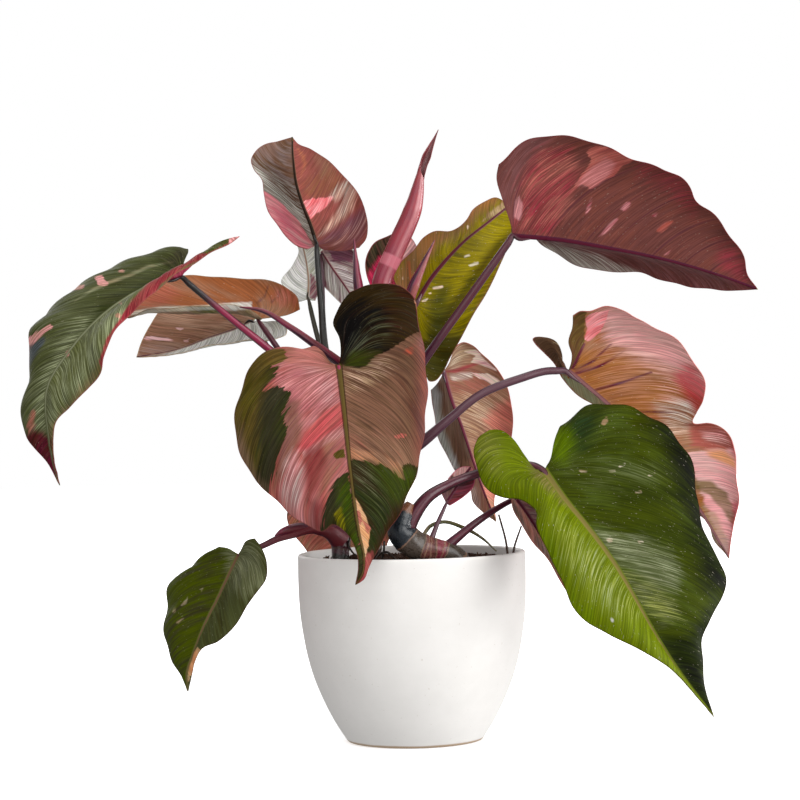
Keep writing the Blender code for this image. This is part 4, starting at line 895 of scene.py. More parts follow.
                (497, 371), (484, 367), (470, 362), (476, 356)]),
            Area("side pink", "petal", "blush", 1, 1.5, 0.95, [(472, 373), (488, 373), (500, 380),
                (504, 387), (494, 391), (488, 382), (478, 378)]),
            Area("red line", "garnet", "crimson", 1, 0.5, 0.7, [(440, 372), (456, 369), (474, 363),
                (492, 362), (474, 366), (456, 373)], 0, 0.6),
            Area("white band", "pearl", "blush", 1, 2, 0.8, [(450, 375), (472, 373), (472, 378),
                (452, 381)], 0.6, 1.5),
            Area("sheen", "sand", "blush", 1, 4, 0.55, [(450, 396), (484, 390), (504, 400), (498, 426),
                (470, 440), (456, 424)], 0.95, 6),
            Area("pink side", "rosewood", "coral", 1, 4, 0.7, [(488, 414), (500, 404), (516, 396),
                (516, 444), (506, 450), (494, 434), (484, 422)], 0.2, 5),
            # Painted glow of light shining through the thin left edge
            Area("painted light rim", "pearl", "silver", -1, 2, 1, [(416, 372), (433, 380), (441, 394), (440, 410),
                (443, 428), (449, 444), (456, 460), (459, 470), (440, 476), (414, 440)], 0.1, 2.5),
            Area("low tan", "tan", "salmon", 0, 5, 0.85, [(464, 462), (500, 446), (506, 486), (498, 526),
                (480, 510), (468, 488)], 0.2, 3),
            Area("low pale", "shell", "blush", 0, 2, 0.8, [(464, 482), (476, 488), (482, 512), (472, 508),
                (464, 496)], 0.3, 2),
        ]),
    "young": Coat(
        gain=1.3, right=("mocha", "plum", "shell"), left=("coffee", "plum", "crimson"),
        back=("pine", "moss", "shell"), vein=("plum", 0.3, 8), rib=("wine", "plum"), edge="rose",
        silver=0.1, specks=0.0, areas=[
            Area("pink top", "shell", "salmon", 0, 3, 0.9, [(450, 470), (462, 462), (482, 464), (474, 478),
                (456, 482)]),
        ]),
    "green": Coat(
        gain=0.85, right=("meadow", "meadow", "grove"), left=("pear", "grass", "pear"),
        back=("bronze", "maroon", "brick"), vein=("grove", 0.08, 15), rib=("brass", "pear"), edge="bronze",
        silver=0.02, specks=0.5, lines=0.85, areas=[
            # Painted reflection: blue-green gloss on the lobe
            Area("blue reflection lobe", "teal", "forest", 1, 6, 0.7, [(566, 430), (576, 408), (604, 402), (598, 430),
                (584, 452), (570, 450)], 0, 8),
            Area("sinus light", "lush", "grove", 1, 6, 0.8, [(546, 456), (554, 434), (566, 424), (578, 440),
                (566, 464)], 0.1, 6),
            Area("light field", "grove", "stone", 1, 10, 0.45, [(560, 466), (600, 460), (650, 466),
                (670, 480), (640, 490), (596, 488)], 0.7, 7),
            # Painted shade of the pleats in bands across the blade
            Area("painted shade bands", "forest", "meadow", 1, 6, 0.7, [
                [(596, 488), (640, 482), (690, 484), (690, 500), (640, 502), (600, 500)],
                [(630, 528), (670, 524), (706, 530), (704, 548), (670, 552), (640, 546)]], 0.2, 6),
            Area("dark side", "ink", "forest", 1, 8, 0.95, [(640, 404), (676, 420), (704, 462), (712, 520),
                (736, 570), (730, 600), (706, 590), (690, 540), (680, 490), (660, 440)], 0, 12),
            # Painted highlight: silver streaks near the rib
            Area("painted highlight band", "mint", "stone", 1, 8, 1, [(596, 530), (640, 540), (670, 554), (680, 574),
                (672, 590), (650, 588), (616, 560)], 0.7, 7),
            # Painted sheen in streaks below the highlight
            Area("low sheen streaks", "stone", "straw", 1, 8, 0.85, [(618, 568), (650, 584), (674, 600),
                (678, 616), (664, 622), (640, 602)], 0.7, 6),
            Area("deep tip", "forest", "jet", 1, 6, 0.95, [(656, 640), (690, 634), (712, 600), (730, 610),
                (726, 640), (706, 668), (722, 720), (704, 714), (680, 676)], 0, 7),
            Area("tan patch", "peach", "sand", 1, 0.6, 1, [(601, 424), (604, 418), (607, 414), (608, 422),
                (604, 427)]),
            Area("dashes", "sand", "cream", 1, 0.5, 0.9, [
                [(633, 492), (641, 490), (642, 493), (634, 494)],
                [(646, 475), (655, 473), (655, 475), (648, 477)],
                [(578, 470), (590, 471), (590, 473), (580, 473)],
                [(608, 471), (617, 470), (617, 472), (609, 473)],
                [(618, 466), (625, 463), (626, 465), (619, 468)],
                [(649, 469), (652, 467), (653, 470), (650, 471)],
                [(606, 539), (612, 538), (613, 542), (607, 543)],
                [(637, 541), (644, 541), (643, 544), (638, 544)]]),
            Area("lobe end", "reed", "pear", -1, 5, 0.8, [(476, 440), (488, 430), (504, 444), (500, 476),
                (486, 470), (478, 460)], 0.2, 6),
            Area("bright rim", "lush", "pear", -1, 4, 0.75, [(506, 494), (530, 498), (552, 540), (578, 600),
                (620, 632), (600, 640), (570, 620), (548, 570), (526, 520)], 0.1, 5),
            Area("joint tan", "brass", "fawn", -1, 5, 0.7, [(530, 466), (546, 468), (562, 486), (566, 506),
                (550, 492), (534, 478)], 0.4, 4),
            # Pale lines along the side veins near the rib, partly the veins' own colour and partly painted
            # sheen
            Area("fishbone sheen", "straw", "mint", -1, 8, 0.75, [(556, 516), (600, 556), (632, 600), (636, 616),
                (616, 612), (590, 590), (562, 556)], 0.95, 8),
            Area("white spot", "cream", "pearl", -1, 0.4, 1, [(610, 618), (613, 617), (614, 622),
                (612, 624)]),
        ]),
    "gold": Coat(
        gain=1.5, right=("rust", "ochre", "tan"), left=("ochre", "ash", "mint"),
        back=("pine", "olive", "salmon"), vein=("plum", 0.0, 15), rib=("mauve", "plum"), edge="rosewood",
        silver=0.04, specks=0.3, lines=0.6, areas=[
            Area("outer pink", "shell", "petal", 1, 8, 0.95, [(598, 306), (630, 300), (664, 320),
                (704, 352), (716, 392), (700, 396), (676, 374), (648, 360), (624, 350),
                (604, 340)], 0.15, 8),
            # Painted sheen in pale threads
            Area("pale sheen threads", "shell", "blush", 1, 8, 0.5, [(596, 344), (650, 346), (690, 380),
                (690, 424), (650, 412), (600, 390)], 0.9, 10),
            Area("gold heart", "ochre", "rust", 1, 6, 0.7, [(574, 366), (596, 352), (626, 360), (650, 376),
                (664, 400), (640, 412), (600, 398)], 0.1, 8),
            Area("brown lobe", "bark", "khaki", 1, 2, 0.95, [(562, 376), (566, 340), (568, 310), (580, 304),
                (586, 314), (584, 344), (576, 366)]),
            Area("pink patch", "flush", "petal", 1, 1, 0.98, [(585, 318), (590, 313), (600, 311),
                (610, 309), (606, 320), (602, 329), (596, 336), (588, 342), (584, 338), (587, 330)]),
            Area("side veins", "wine", "plum", 1, 0.3, 1, [
                [(571, 368), (577, 356), (584, 342), (586, 343), (579, 358), (573, 370)],
                [(574, 371), (592, 360), (612, 342), (613, 343), (594, 362), (575, 373)],
                [(576, 373), (600, 364), (624, 351), (625, 352), (601, 367), (577, 375)],
                [(594, 389), (622, 381), (652, 371), (653, 373), (622, 384), (596, 391)],
                [(640, 411), (664, 411), (688, 412), (688, 413), (664, 413), (640, 412)]], 0, 0.4),
            Area("crimson patch", "ruby", "flush", 1, 8, 0.85, [(674, 374), (692, 362), (708, 384),
                (708, 402), (696, 414), (686, 402), (680, 386)], 0.2, 5),
            Area("white shine", "pearl", "blush", 1, 4, 0.85, [(656, 404), (690, 400), (694, 416),
                (690, 436), (672, 440), (664, 424)], 0.9, 5),
            Area("fold", "brick", "rosewood", 1, 4, 0.85, [(688, 424), (712, 420), (734, 434), (738, 452),
                (712, 450), (692, 446)], 0, 3),
            Area("fold shine", "petal", "pearl", 1, 3, 0.85, [(700, 430), (724, 430), (730, 444),
                (708, 440)], 0.8, 3),
            Area("low pink", "petal", "shell", 0, 3, 1, [(686, 453), (712, 450), (738, 448), (744, 520),
                (734, 566), (722, 552), (704, 500)], 0.1, 1),
            Area("orange crest", "apricot", "peach", 0, 2, 0.9, [(706, 451), (724, 450), (736, 460),
                (736, 468), (722, 462), (710, 456)], 0, 2),
            Area("tan band", "fawn", "khaki", 0, 1.5, 0.85, [(694, 480), (712, 482), (726, 492), (736, 512),
                (736, 528), (722, 510), (708, 494), (694, 489)], 0, 1),
            Area("tan tip", "sand", "ash", 0, 2, 0.8, [(702, 504), (716, 514), (728, 538), (732, 562),
                (722, 556), (706, 530)], 0.3, 2),
            Area("red rim", "crimson", "rosewood", 0, 2, 0.75, [
                [(732, 438), (742, 450), (738, 462), (732, 452)],
                [(733, 500), (744, 500), (742, 540), (732, 566), (727, 556), (732, 530)]], 0.1, 2),
            Area("pale strip", "mint", "sand", -1, 5, 0.9, [(560, 374), (584, 378), (606, 396), (600, 408),
                (574, 396)]),
            Area("front lobe", "coffee", "bark", -1, 4, 0.95, [(528, 334), (548, 334), (566, 350),
                (570, 372), (556, 372), (536, 352)]),
        ]),
    "low": Coat(
        gain=1.5, right=("sage", "moss", "moss"), left=("meadow", "sage", "meadow"),
        back=("garnet", "maroon", "brick"), vein=("moss", 0.1, 11), rib=("mocha", "willow"), edge="bronze",
        silver=0.04, specks=0.2, lines=0.55, areas=[
            Area("grey lobe", "lichen", "stone", 0, 6, 0.85, [(226, 552), (240, 540), (262, 556),
                (262, 590), (244, 596), (232, 580)], 0.2, 6),
            Area("streaks", "sand", "cream", 0, 0.6, 0.75, [
                [(181, 606), (188, 597), (186, 604)],
                [(176, 622), (184, 618), (178, 624)],
                [(172, 612), (176, 606), (175, 613)],
                [(200, 590), (204, 588), (202, 592)]], 0.2, 0.4),
            Area("tan rim", "peach", "sand", 1, 2, 0.95, [(186, 660), (198, 648), (204, 652), (194, 672),
                (187, 684)]),
        ]),
    "back": Coat(
        gain=1.2, right=("tan", "salmon", "peach"), left=("tan", "salmon", "peach"),
        back=("pine", "meadow", "willow"), vein=("bark", 0.2, 14), rib=("bark", "rust"), edge="brick",
        silver=0.05, specks=0.3, areas=[
            Area("red heart", "brick", "crimson", 0, 4, 0.6, [(300, 520), (324, 524), (332, 540),
                (320, 548), (302, 540)], 0.3, 4),
        ]),
    "crown": Coat(
        gain=1.8, right=("coffee", "ink", "shade"), left=("rosewood", "mauve", "salmon"),
        back=("pine", "moss", "cherry"), vein=("wine", 0.2, 9), rib=("wine", "crimson"), edge="garnet",
        silver=0.03, specks=0.0, areas=[
            Area("red heart", "crimson", "cherry", 0, 3, 0.95, [(366, 300), (366, 276), (376, 262),
                (388, 250), (400, 250), (402, 264), (394, 296)], 0.1, 2),
            Area("pink side", "petal", "shell", 0, 3, 1, [(404, 240), (424, 236), (426, 266), (400, 276),
                (402, 256)], 0.1, 2),
        ]),
    "under": Coat(
        gain=1.3, right=("plum", "ash", "salmon"), left=("ash", "fawn", "salmon"),
        back=("maroon", "mauve", "brick"), vein=("plum", 0.3, 12), rib=("wine", "plum"), edge="salmon",
        silver=0.05, specks=0.0, areas=[]),
}

# Leaf stalks: the colour that faces the front, near the foot and near the blade, painted lighter as
# the lit side; the two flanks, a darker painted shade; and the streaks
STALK_COLOURS = {
    "front": ("cherry", "cherry", "grape", "garnet"), "left": ("cherry", "soot", "jet", "plum"),
    "rust": ("cherry", "wine", "wine", "mauve"), "brown": ("soot", "soot", "jet", "wine"),
    "upper": ("shade", "soot", "jet", "soot"), "silver": ("soot", "shade", "jet", "wine"),
    "plum": ("wine", "plum", "grape", "soot"), "olive": ("plum", "plum", "wine", "grape"),
    "maroon": ("grape", "wine", "grape", "soot"), "rose": ("wine", "plum", "grape", "grape"),
    "young": ("plum", "plum", "grape", "wine"), "green": ("wine", "wine", "soot", "garnet"),
    "gold": ("plum", "plum", "grape", "wine"), "low": ("garnet", "wine", "grape", "garnet"),
    "back": ("mocha", "mocha", "bronze", "wine"), "crown": ("cherry", "cherry", "wine", "grape"),
    "under": ("wine", "wine", "grape", "cherry"),
}
# Stems, roots and twigs: the main colour, the blotches and the joint rings
STEM_COLOURS = {
    "main": ("coffee", "soot", "bark"), "left": ("coffee", "jet", "bark"),
    "elbow": ("shade", "soot", "tan"), "root": ("coffee", "ink", "bark"), "twig": ("bark", "coffee", "tan"),
}
# Stretches of a stem: from and to, in mm from its foot, the colour and its strength
STEM_ZONES = {
    "left": ((-5, 24, "ink", 0.9), (24, 60, "wine", 0.9)),
    "elbow": ((-5, 14, "bark", 0.8), (14, 28, "dusk", 0.7), (29, 36, "crimson", 0.9),
              (37, 46, "brick", 0.7), (46, 60, "dusk", 0.9), (60, 84, "midnight", 0.95),
              (84, 100, "rust", 0.9)),
}
# Sheaths: the main colour, the side away from it and the lighter clouds
SHEATH_COLOURS = {
    "sheath_low": ("garnet", "wine", "cherry"), "sheath_left": ("cherry", "grape", "garnet"),
    "sheath_right": ("rosewood", "grape", "cherry"), "sheath_long": ("garnet", "grape", "cherry"),
    "strap": ("willow", "olive", "sand"), "roll_inside": ("mauve", "garnet", "petal"),
}


def place(points):
    """Turn (across, up, depth) points in mm into x, y, z points in metres."""
    across, up, depth = np.asarray(points, float).T
    reach = (EYE_DISTANCE + depth) / EYE_DISTANCE
    aside = (across - EYE_ACROSS) * reach
    above = (up - EYE_UP) * reach
    lean = np.radians(EYE_LEAN_DEG)
    x = EYE_X + aside * np.cos(lean) + above * np.sin(lean)
    z = EYE_Z + above * np.cos(lean) - aside * np.sin(lean)
    return np.column_stack([x, depth, z]) * MM


def seen(points):
    """Turn x, y, z points in metres into pixels of the front view."""
    x, y, z = (np.asarray(points, float) / MM).T
    reach = EYE_DISTANCE / (EYE_DISTANCE + y)
    x = (x - EYE_X) * reach
    z = (z - EYE_Z) * reach
    lean = np.radians(EYE_LEAN_DEG)
    aside = x * np.cos(lean) - z * np.sin(lean)
    above = x * np.sin(lean) + z * np.cos(lean)
    middle = PICTURE_WIDTH / 2
    return np.column_stack([middle + aside / PIXEL_MM, middle - above / PIXEL_MM])


def run_of(points):
    """How far along the line through the points each of them lies."""
    steps = np.linalg.norm(np.diff(np.asarray(points, float), axis=0), axis=1)
    return np.concatenate([[0.0], np.cumsum(steps)])


def along(points, fractions):
    """Read a smooth line through the points at fractions of its length."""
    points = np.asarray(points, float)
    knots = run_of(points)
    slopes = np.gradient(points, knots, axis=0)
    where = np.clip(np.asarray(fractions, float), 0.0, 1.0) * knots[-1]
    part = np.clip(np.searchsorted(knots, where, side="right") - 1, 0, len(knots) - 2)
    span = (knots[part + 1] - knots[part])[:, None]
    t = (where[:, None] - knots[part][:, None]) / span
    start = (1 + 2 * t) * (1 - t) ** 2 * points[part] + t * (1 - t) ** 2 * span * slopes[part]
    end = t * t * (3 - 2 * t) * points[part + 1] - t * t * (1 - t) * span * slopes[part + 1]
    return start + end


def unit(vectors):
    """Scale vectors to a length of one."""
    return vectors / np.maximum(np.linalg.norm(vectors, axis=-1, keepdims=True), 1e-12)


def hump(t):
    """Rise from 0 at the rib to 1 at two thirds of the way out, and fall to 0 at the margin."""
    return 6.75 * t * t * (1 - t)


def depth_inside(points, outline):
    """How far each point lies inside a closed outline; outside it is negative."""
    outline = np.asarray(outline, float)
    nearest = np.full(len(points), np.inf)
    inside = np.zeros(len(points), bool)
    for a, b in zip(outline, np.roll(outline, -1, axis=0)):
        step = b - a
        share = np.clip((points - a) @ step / (step @ step), 0, 1)
        gap = np.linalg.norm(points - a - share[:, None] * step, axis=1)
        nearest = np.minimum(nearest, gap)
        level = (a[1] > points[:, 1]) != (b[1] > points[:, 1])
        rise = step[1] if step[1] else 1.0
        cross = a[0] + (points[:, 1] - a[1]) * step[0] / rise
        inside ^= level & (points[:, 0] < cross)
    return np.where(inside, nearest, -nearest)


def depth_in_loops(points, outline):
    """The same for an outline of one loop or of several loops."""
    loops = outline if isinstance(outline[0], list) else [outline]
    return np.max([depth_inside(points, np.array(loop, float)) for loop in loops], axis=0)


def linear(name):
    """Read a palette colour as linear red, green and blue."""
    code = PALETTE[name]
    shown = np.array([int(code[i:i + 2], 16) / 255 for i in (0, 2, 4)])
    light = np.where(shown <= 0.04045, shown / 12.92, ((shown + 0.055) / 1.055) ** 2.4)
    return tuple(light * ALBEDO)


class Graph:
    """Short names for the nodes of one material."""

    def __init__(self, name, specular=0.5):
        self.material = bpy.data.materials.new(name)
        self.material.use_nodes = True
        self.tree = self.material.node_tree
        self.shader = self.tree.nodes["Principled BSDF"]
        self.shader.inputs["Specular IOR Level"].default_value = specular

    def feed(self, socket, value):
        """Link a socket, or set its value."""
        if isinstance(value, bpy.types.NodeSocket):
            self.tree.links.new(value, socket)
        elif isinstance(value, tuple) and socket.type == "RGBA":
            socket.default_value = (*value, 1.0)
        else:
            socket.default_value = value

    def node(self, kind, output, inputs, **settings):
        """Add a node, set it, feed its inputs and return one output."""
        node = self.tree.nodes.new(kind)
        for key, value in settings.items():
            setattr(node, key, value)
        for key, value in inputs.items():
            self.feed(node.inputs[key], value)
        return node.outputs[output]

    def read(self, name, output="Vector"):
        """Point data of the mesh."""
        return self.node("ShaderNodeAttribute", output, {}, attribute_name=name)

    def where(self):
        """The place in the piece's own frame."""
        return self.node("ShaderNodeTexCoord", "Object", {})

    def split(self, vector):
        node = self.tree.nodes.new("ShaderNodeSeparateXYZ")
        self.feed(node.inputs[0], vector)
        return node.outputs

    def vector(self, x, y, z):
        return self.node("ShaderNodeCombineXYZ", 0, {"X": x, "Y": y, "Z": z})

    def math(self, operation, *values):
        return self.node("ShaderNodeMath", 0, dict(enumerate(values)), operation=operation)

    def plus(self, a, b):
        return self.math("ADD", a, b)

    def times(self, a, b):
        return self.math("MULTIPLY", a, b)

    def swing(self, noise, size):
        """Noise round zero instead of round a half, and so much larger."""
        return self.times(self.math("SUBTRACT", noise, 0.5), size)

    def off(self, value, middle):
        """How far a value is from the middle."""
        return self.math("ABSOLUTE", self.math("SUBTRACT", value, middle))

    def noise(self, vector, scale, detail, roughness):
        inputs = {"Vector": vector, "Scale": scale, "Detail": detail, "Roughness": roughness}
        return self.node("ShaderNodeTexNoise", "Fac", inputs)

    def leaf_noise(self, name, w, across):
        """Noise over a blade, drawn out along its side veins."""
        wide, long, shift, detail, roughness = LEAF_NOISE[name]
        spot = self.vector(self.times(w, wide), self.times(across, long), shift)
        return self.noise(spot, 1.0, detail, roughness)

    def swept_noise(self, name, flow):
        """Noise over a swept piece, drawn out along it."""
        wide, long, detail, roughness = SWEPT_NOISE[name]
        spot = self.vector(*[self.times(part, size) for part, size in zip(flow, (wide, wide, long))])
        return self.noise(spot, 1.0, detail, roughness)

    def smooth(self, value, low, high, start=0.0, end=1.0):
        inputs = {"Value": value, "From Min": low, "From Max": high, "To Min": start, "To Max": end}
        return self.node("ShaderNodeMapRange", "Result", inputs, interpolation_type="SMOOTHSTEP")

    def ramp(self, name, value):
        """Read the ramp of that name at a value."""
        return self.smooth(value, *RAMPS[name])

    def mix(self, factor, a, b):
        node = self.tree.nodes.new("ShaderNodeMix")
        node.data_type = "RGBA"
        colours = [s for s in node.inputs if s.type == "RGBA"]
        self.feed(node.inputs[0], factor)
        self.feed(colours[0], a)
        self.feed(colours[1], b)
        return next(s for s in node.outputs if s.type == "RGBA")

    def finish(self, colour, roughness, height=None, bump=None):
        """Give the shader its colour, its roughness and the relief of that name."""
        self.feed(self.shader.inputs["Base Color"], colour)
        self.feed(self.shader.inputs["Roughness"], roughness)
        if bump:
            strength, distance = BUMPS[bump]
            inputs = {"Height": height, "Strength": strength, "Distance": distance}
            self.feed(self.shader.inputs["Normal"], self.node("ShaderNodeBump", "Normal", inputs))
        return self.material


def hidden(colour, shows):
    """The colour of a patch on the blade's other face: reds go through, greens change."""
    red, green, blue = colour
    light = (red + green + blue) / 3
    if red > REDNESS * green or light > PALE:
        return colour
    tint = UNDER_TINT if shows == UPPER else UPPER_TINT
    return tuple(light * part for part in tint)


def leaf_material(name, leaf, coat, seen_face):
    """Colour one face of a blade by its two halves, its patches, its veins and its rib."""
    graph = Graph(name, LEAF_SPECULAR)

    def tone(key):
        return tuple(min(max(part * coat.gain - VEIL, DARKEST), BRIGHTEST) for part in linear(key))

    w, across, edge = graph.split(graph.read("flow"))
    phase, gap, rib_half = graph.split(graph.read("span"))
    fine, broad, cloud, hair, speck = [graph.leaf_noise(key, w, across) for key in LEAF_NOISE]

    def ground(names):
        deep, main, light = [tone(n) for n in names]
        base = graph.mix(graph.ramp("leaf main", broad), deep, main)
        share = graph.times(graph.ramp("leaf light", cloud), graph.ramp("leaf light lines", fine))
        return graph.mix(share, base, light)

    if seen_face:
        right, left = ground(coat.right), ground(coat.left)
        colour = graph.mix(graph.ramp("leaf halves", across), left, right)
    else:
        colour = ground(coat.back)

    threads = graph.ramp("leaf threads", hair)
    blend = graph.ramp("leaf accent", graph.plus(graph.times(cloud, 0.5), graph.times(fine, 0.5)))
    for index, area in enumerate(coat.areas):
        frayed = graph.plus(graph.swing(fine, TOOTH * area.ragged), graph.swing(broad, SWAY * area.ragged))
        border = graph.plus(graph.read(f"area_{index}", "Fac"), frayed)
        outer, inner = BORDER[0] - area.soft, BORDER[1] + area.soft
        cover = graph.smooth(border, outer, inner, 0.0, area.cover)
        if area.threads:
            broken = graph.math("MULTIPLY_ADD", threads, area.threads, 1 - area.threads)
            cover = graph.times(cover, broken)
        first, second = tone(area.colour), tone(area.accent)
        if not seen_face:
            first, second = hidden(first, leaf.shows), hidden(second, leaf.shows)
        colour = graph.mix(cover, colour, graph.mix(blend, first, second))

    # Thin streaks of the ground's own colour, darker and lighter
    depth = HAIR * coat.lines
    value = graph.smooth(hair, *HAIR_SPAN, 1 - depth, 1 + depth)
    colour = graph.node("ShaderNodeHueSaturation", "Color", {
        "Hue": 0.5, "Saturation": HAIR_SATURATION, "Value": value, "Fac": 1.0, "Color": colour})
    # Painted sheen: a silvery film in streaks that stands in for the gloss of the leaf
    sheen_streaks = graph.times(graph.ramp("leaf sheen lines", fine), graph.ramp("leaf painted sheen", broad))
    strength = coat.silver if seen_face else HIDDEN_SHEEN
    colour = graph.mix(graph.times(sheen_streaks, strength), colour, tone("silver"))
    # Side veins
    vein_colour, vein_strength, _ = coat.vein
    line = graph.ramp("leaf side vein", graph.times(graph.math("PINGPONG", phase, 0.5), gap))
    colour = graph.mix(graph.times(line, vein_strength), colour, tone(vein_colour))
    # Pale specks drawn out along the veins
    specks = graph.times(graph.ramp("leaf speck", speck), coat.specks)
    colour = graph.mix(specks, colour, tone("cream"))
    # Rib and margin
    beyond = graph.math("SUBTRACT", graph.math("ABSOLUTE", across), rib_half)
    crest, flank = tone(coat.rib[0]), tone(coat.rib[1])
    if not seen_face:
        crest = flank = linear(HIDDEN_RIB[leaf.shows])
    colour = graph.mix(graph.ramp("leaf rib flank", beyond), colour, flank)
    colour = graph.mix(graph.ramp("leaf rib crest", beyond), colour, crest)
    colour = graph.mix(graph.ramp("leaf margin", edge), colour, tone(coat.edge))
    parts = [graph.times(part, size) for part, size in zip((hair, fine, line), LEAF_RELIEF)]
    height = graph.plus(graph.plus(parts[0], parts[1]), parts[2])
    return graph.finish(colour, graph.ramp("leaf roughness", fine), height, "leaf")


def mesh_object(name, verts, faces, materials, slots=None, data=None, sharp=50):
    """Make a mesh piece that rides on the root, with its materials and point data."""
    mesh = bpy.data.meshes.new(name)
    mesh.from_pydata(np.asarray(verts).tolist(), [], [list(map(int, f)) for f in faces])
    for material in materials:
        mesh.materials.append(material)
    if slots is not None:
        mesh.polygons.foreach_set("material_index", np.asarray(slots, np.int32))
    for key, values in (data or {}).items():
        values = np.asarray(values, np.float32)
        kind = "FLOAT_VECTOR" if values.ndim == 2 else "FLOAT"
        layer = mesh.attributes.new(key, kind, "POINT")
        layer.data.foreach_set("vector" if values.ndim == 2 else "value", values.ravel())
    mesh.shade_smooth()
    mesh.set_sharp_from_angle(angle=np.radians(sharp))
    piece = bpy.data.objects.new(name, mesh)
    bpy.context.scene.collection.objects.link(piece)
    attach(piece, "root")
    return piece


def shell(name, front, back, faces, materials, data, sharp=50):
    """Make a thin piece of two sides with the same faces, closed along the rim."""
    count = len(front)
    rows = [tuple(int(i) for i in face) for face in faces]
    edges = {edge for row in rows for edge in zip(row, row[1:] + row[:1])}
    rim = sorted((b, a, a + count, b + count) for a, b in edges if (b, a) not in edges)
    behind = [tuple(i + count for i in row[::-1]) for row in rows]
    slots = [0] * len(rows) + [1] * len(rows) + [0] * len(rim)
    data = {key: np.concatenate([values, values]) for key, values in data.items()}
    return mesh_object(name, np.vstack([front, back]), rows + behind + rim, materials, slots, data, sharp)


def turned(rings, sides, down=False):
    """Turn rings of (radius, height) round the pot's axis; down says that they start at the top.

    A ring without radius is a single point, and height may be an array with one number a side.
    """
    angle = np.linspace(0, 2 * np.pi, sides, endpoint=False)
    verts, loops = [], []
    for radius, height in rings:
        points = np.column_stack([radius * np.cos(angle), radius * np.sin(angle), height + 0 * angle])
        loops.append(len(verts) + (np.arange(sides) if radius else np.zeros(sides, int)))
        verts.extend(points if radius else points[:1])
    faces = []
    for here, there in zip(loops, loops[1:]):
        for i in range(sides):
            k = (i + 1) % sides
            face = [here[i], here[k], there[k], there[i]]
            if down:
                face[1:] = face[:0:-1]
            faces.append([v for n, v in enumerate(face) if v not in face[:n]])
    return np.array(verts), faces, loops[-1]


def point_normals(verts, tris):
    """Average the directions of the triangles round each point."""
    corners = verts[tris]
    facing = np.cross(corners[:, 1] - corners[:, 0], corners[:, 2] - corners[:, 0])
    normals = np.zeros_like(verts)
    for k in range(3):
        np.add.at(normals, tris[:, k], facing)
    return unit(normals)


def ruled_half(leaf, side, spine, heading, rows):
    """Rule one half of a blade from its rib to its margin, as [ruling, row] arrays.

    Round the lobe the rulings fan out from the stalk, then they move along the rib to the tip.
    """
    margin, notch = (leaf.right, leaf.notch[0]) if side > 0 else (leaf.left, leaf.notch[1])
    body = len(spine) - 1
    steps = np.linspace(0, 1, body + 1)
    inner = along(place([leaf.rib[0]] + margin[:notch]), rows)
    bow = inner - inner[0] - np.outer(rows, inner[-1] - inner[0])
    outer = place(margin[notch - 1:] + [leaf.rib[-1]])
    scan = np.linspace(0, 1, LOBE_STEPS)
    sweep = unit(along(outer, scan) - spine[0]) @ heading[0]
    passed = max(scan[(sweep < LOBE_END) & (scan < LOBE_MOST)].max(initial=0.0), LOBE_LEAST)
    fan = max(FAN_LEAST, round(FAN_SHARE * body * passed / (1 - passed)))
    turn = np.concatenate([
        np.linspace(0, passed, fan, endpoint=False),
        passed + (1 - passed) * steps ** (1 / RULING_POWER),
    ])
    edge = along(outer, turn)
    roots = np.concatenate([np.zeros(fan, int), np.arange(body + 1)])
    ruling = edge - spine[roots]
    length = np.linalg.norm(ruling, axis=1)
    out = unit(np.cross(heading[roots], ruling)) * side * leaf.shows
    reach = np.minimum(1.0, length / (FULL_WIDTH * MM))
    run = np.pi * (SWELL_START + (1 - SWELL_START) * turn)
    swell = leaf.crown * MM * reach * np.maximum(0, np.sin(run)) ** SWELL_POWER
    fade = np.clip(1 - turn / passed, 0, 1) ** 2
    points = spine[roots][:, None] + ruling[:, None] * rows[:, None]
    rise = (swell[:, None] * hump(rows))[:, :, None]
    points = points + bow * fade[:, None, None] + out[:, None] * rise
    # Vein coordinate: mm along the rib, and on below zero round the lobe
    rib_run = run_of(spine)
    fan_run = run_of(outer)[-1] * passed * FAN_SPACING
    start = np.concatenate([-fan_run * (1 - np.linspace(0, 1, fan, endpoint=False)), rib_run])
    width = length / MM
    w = start[:, None] / MM - VEIN_BEND * width[:, None] * rows ** 2
    step = np.gradient(points, axis=0)
    across = unit(ruling)[:, None]
    step = np.linalg.norm(step - across * np.sum(step * across, axis=2, keepdims=True), axis=2) / MM
    advance = np.maximum(np.abs(np.gradient(start)) / MM, 1e-6)
    spacing = np.clip(step / advance[:, None], *SPACING_LIMITS)
    lean = unit(np.gradient(edge, axis=0))
    slant = np.sqrt(np.clip(1 - np.sum(lean * unit(ruling), axis=1) ** 2, SLANT_LEAST, 1))
    return {
        "points": points, "roots": roots, "w": w, "spacing": spacing,
        "across": side * width[:, None] * rows + 0 * w,
        "edge": (width * slant)[:, None] * (1 - rows),
        "t": rows + 0 * w, "run": run_of(outer)[-1] / MM * turn[:, None] + 0 * w,
    }


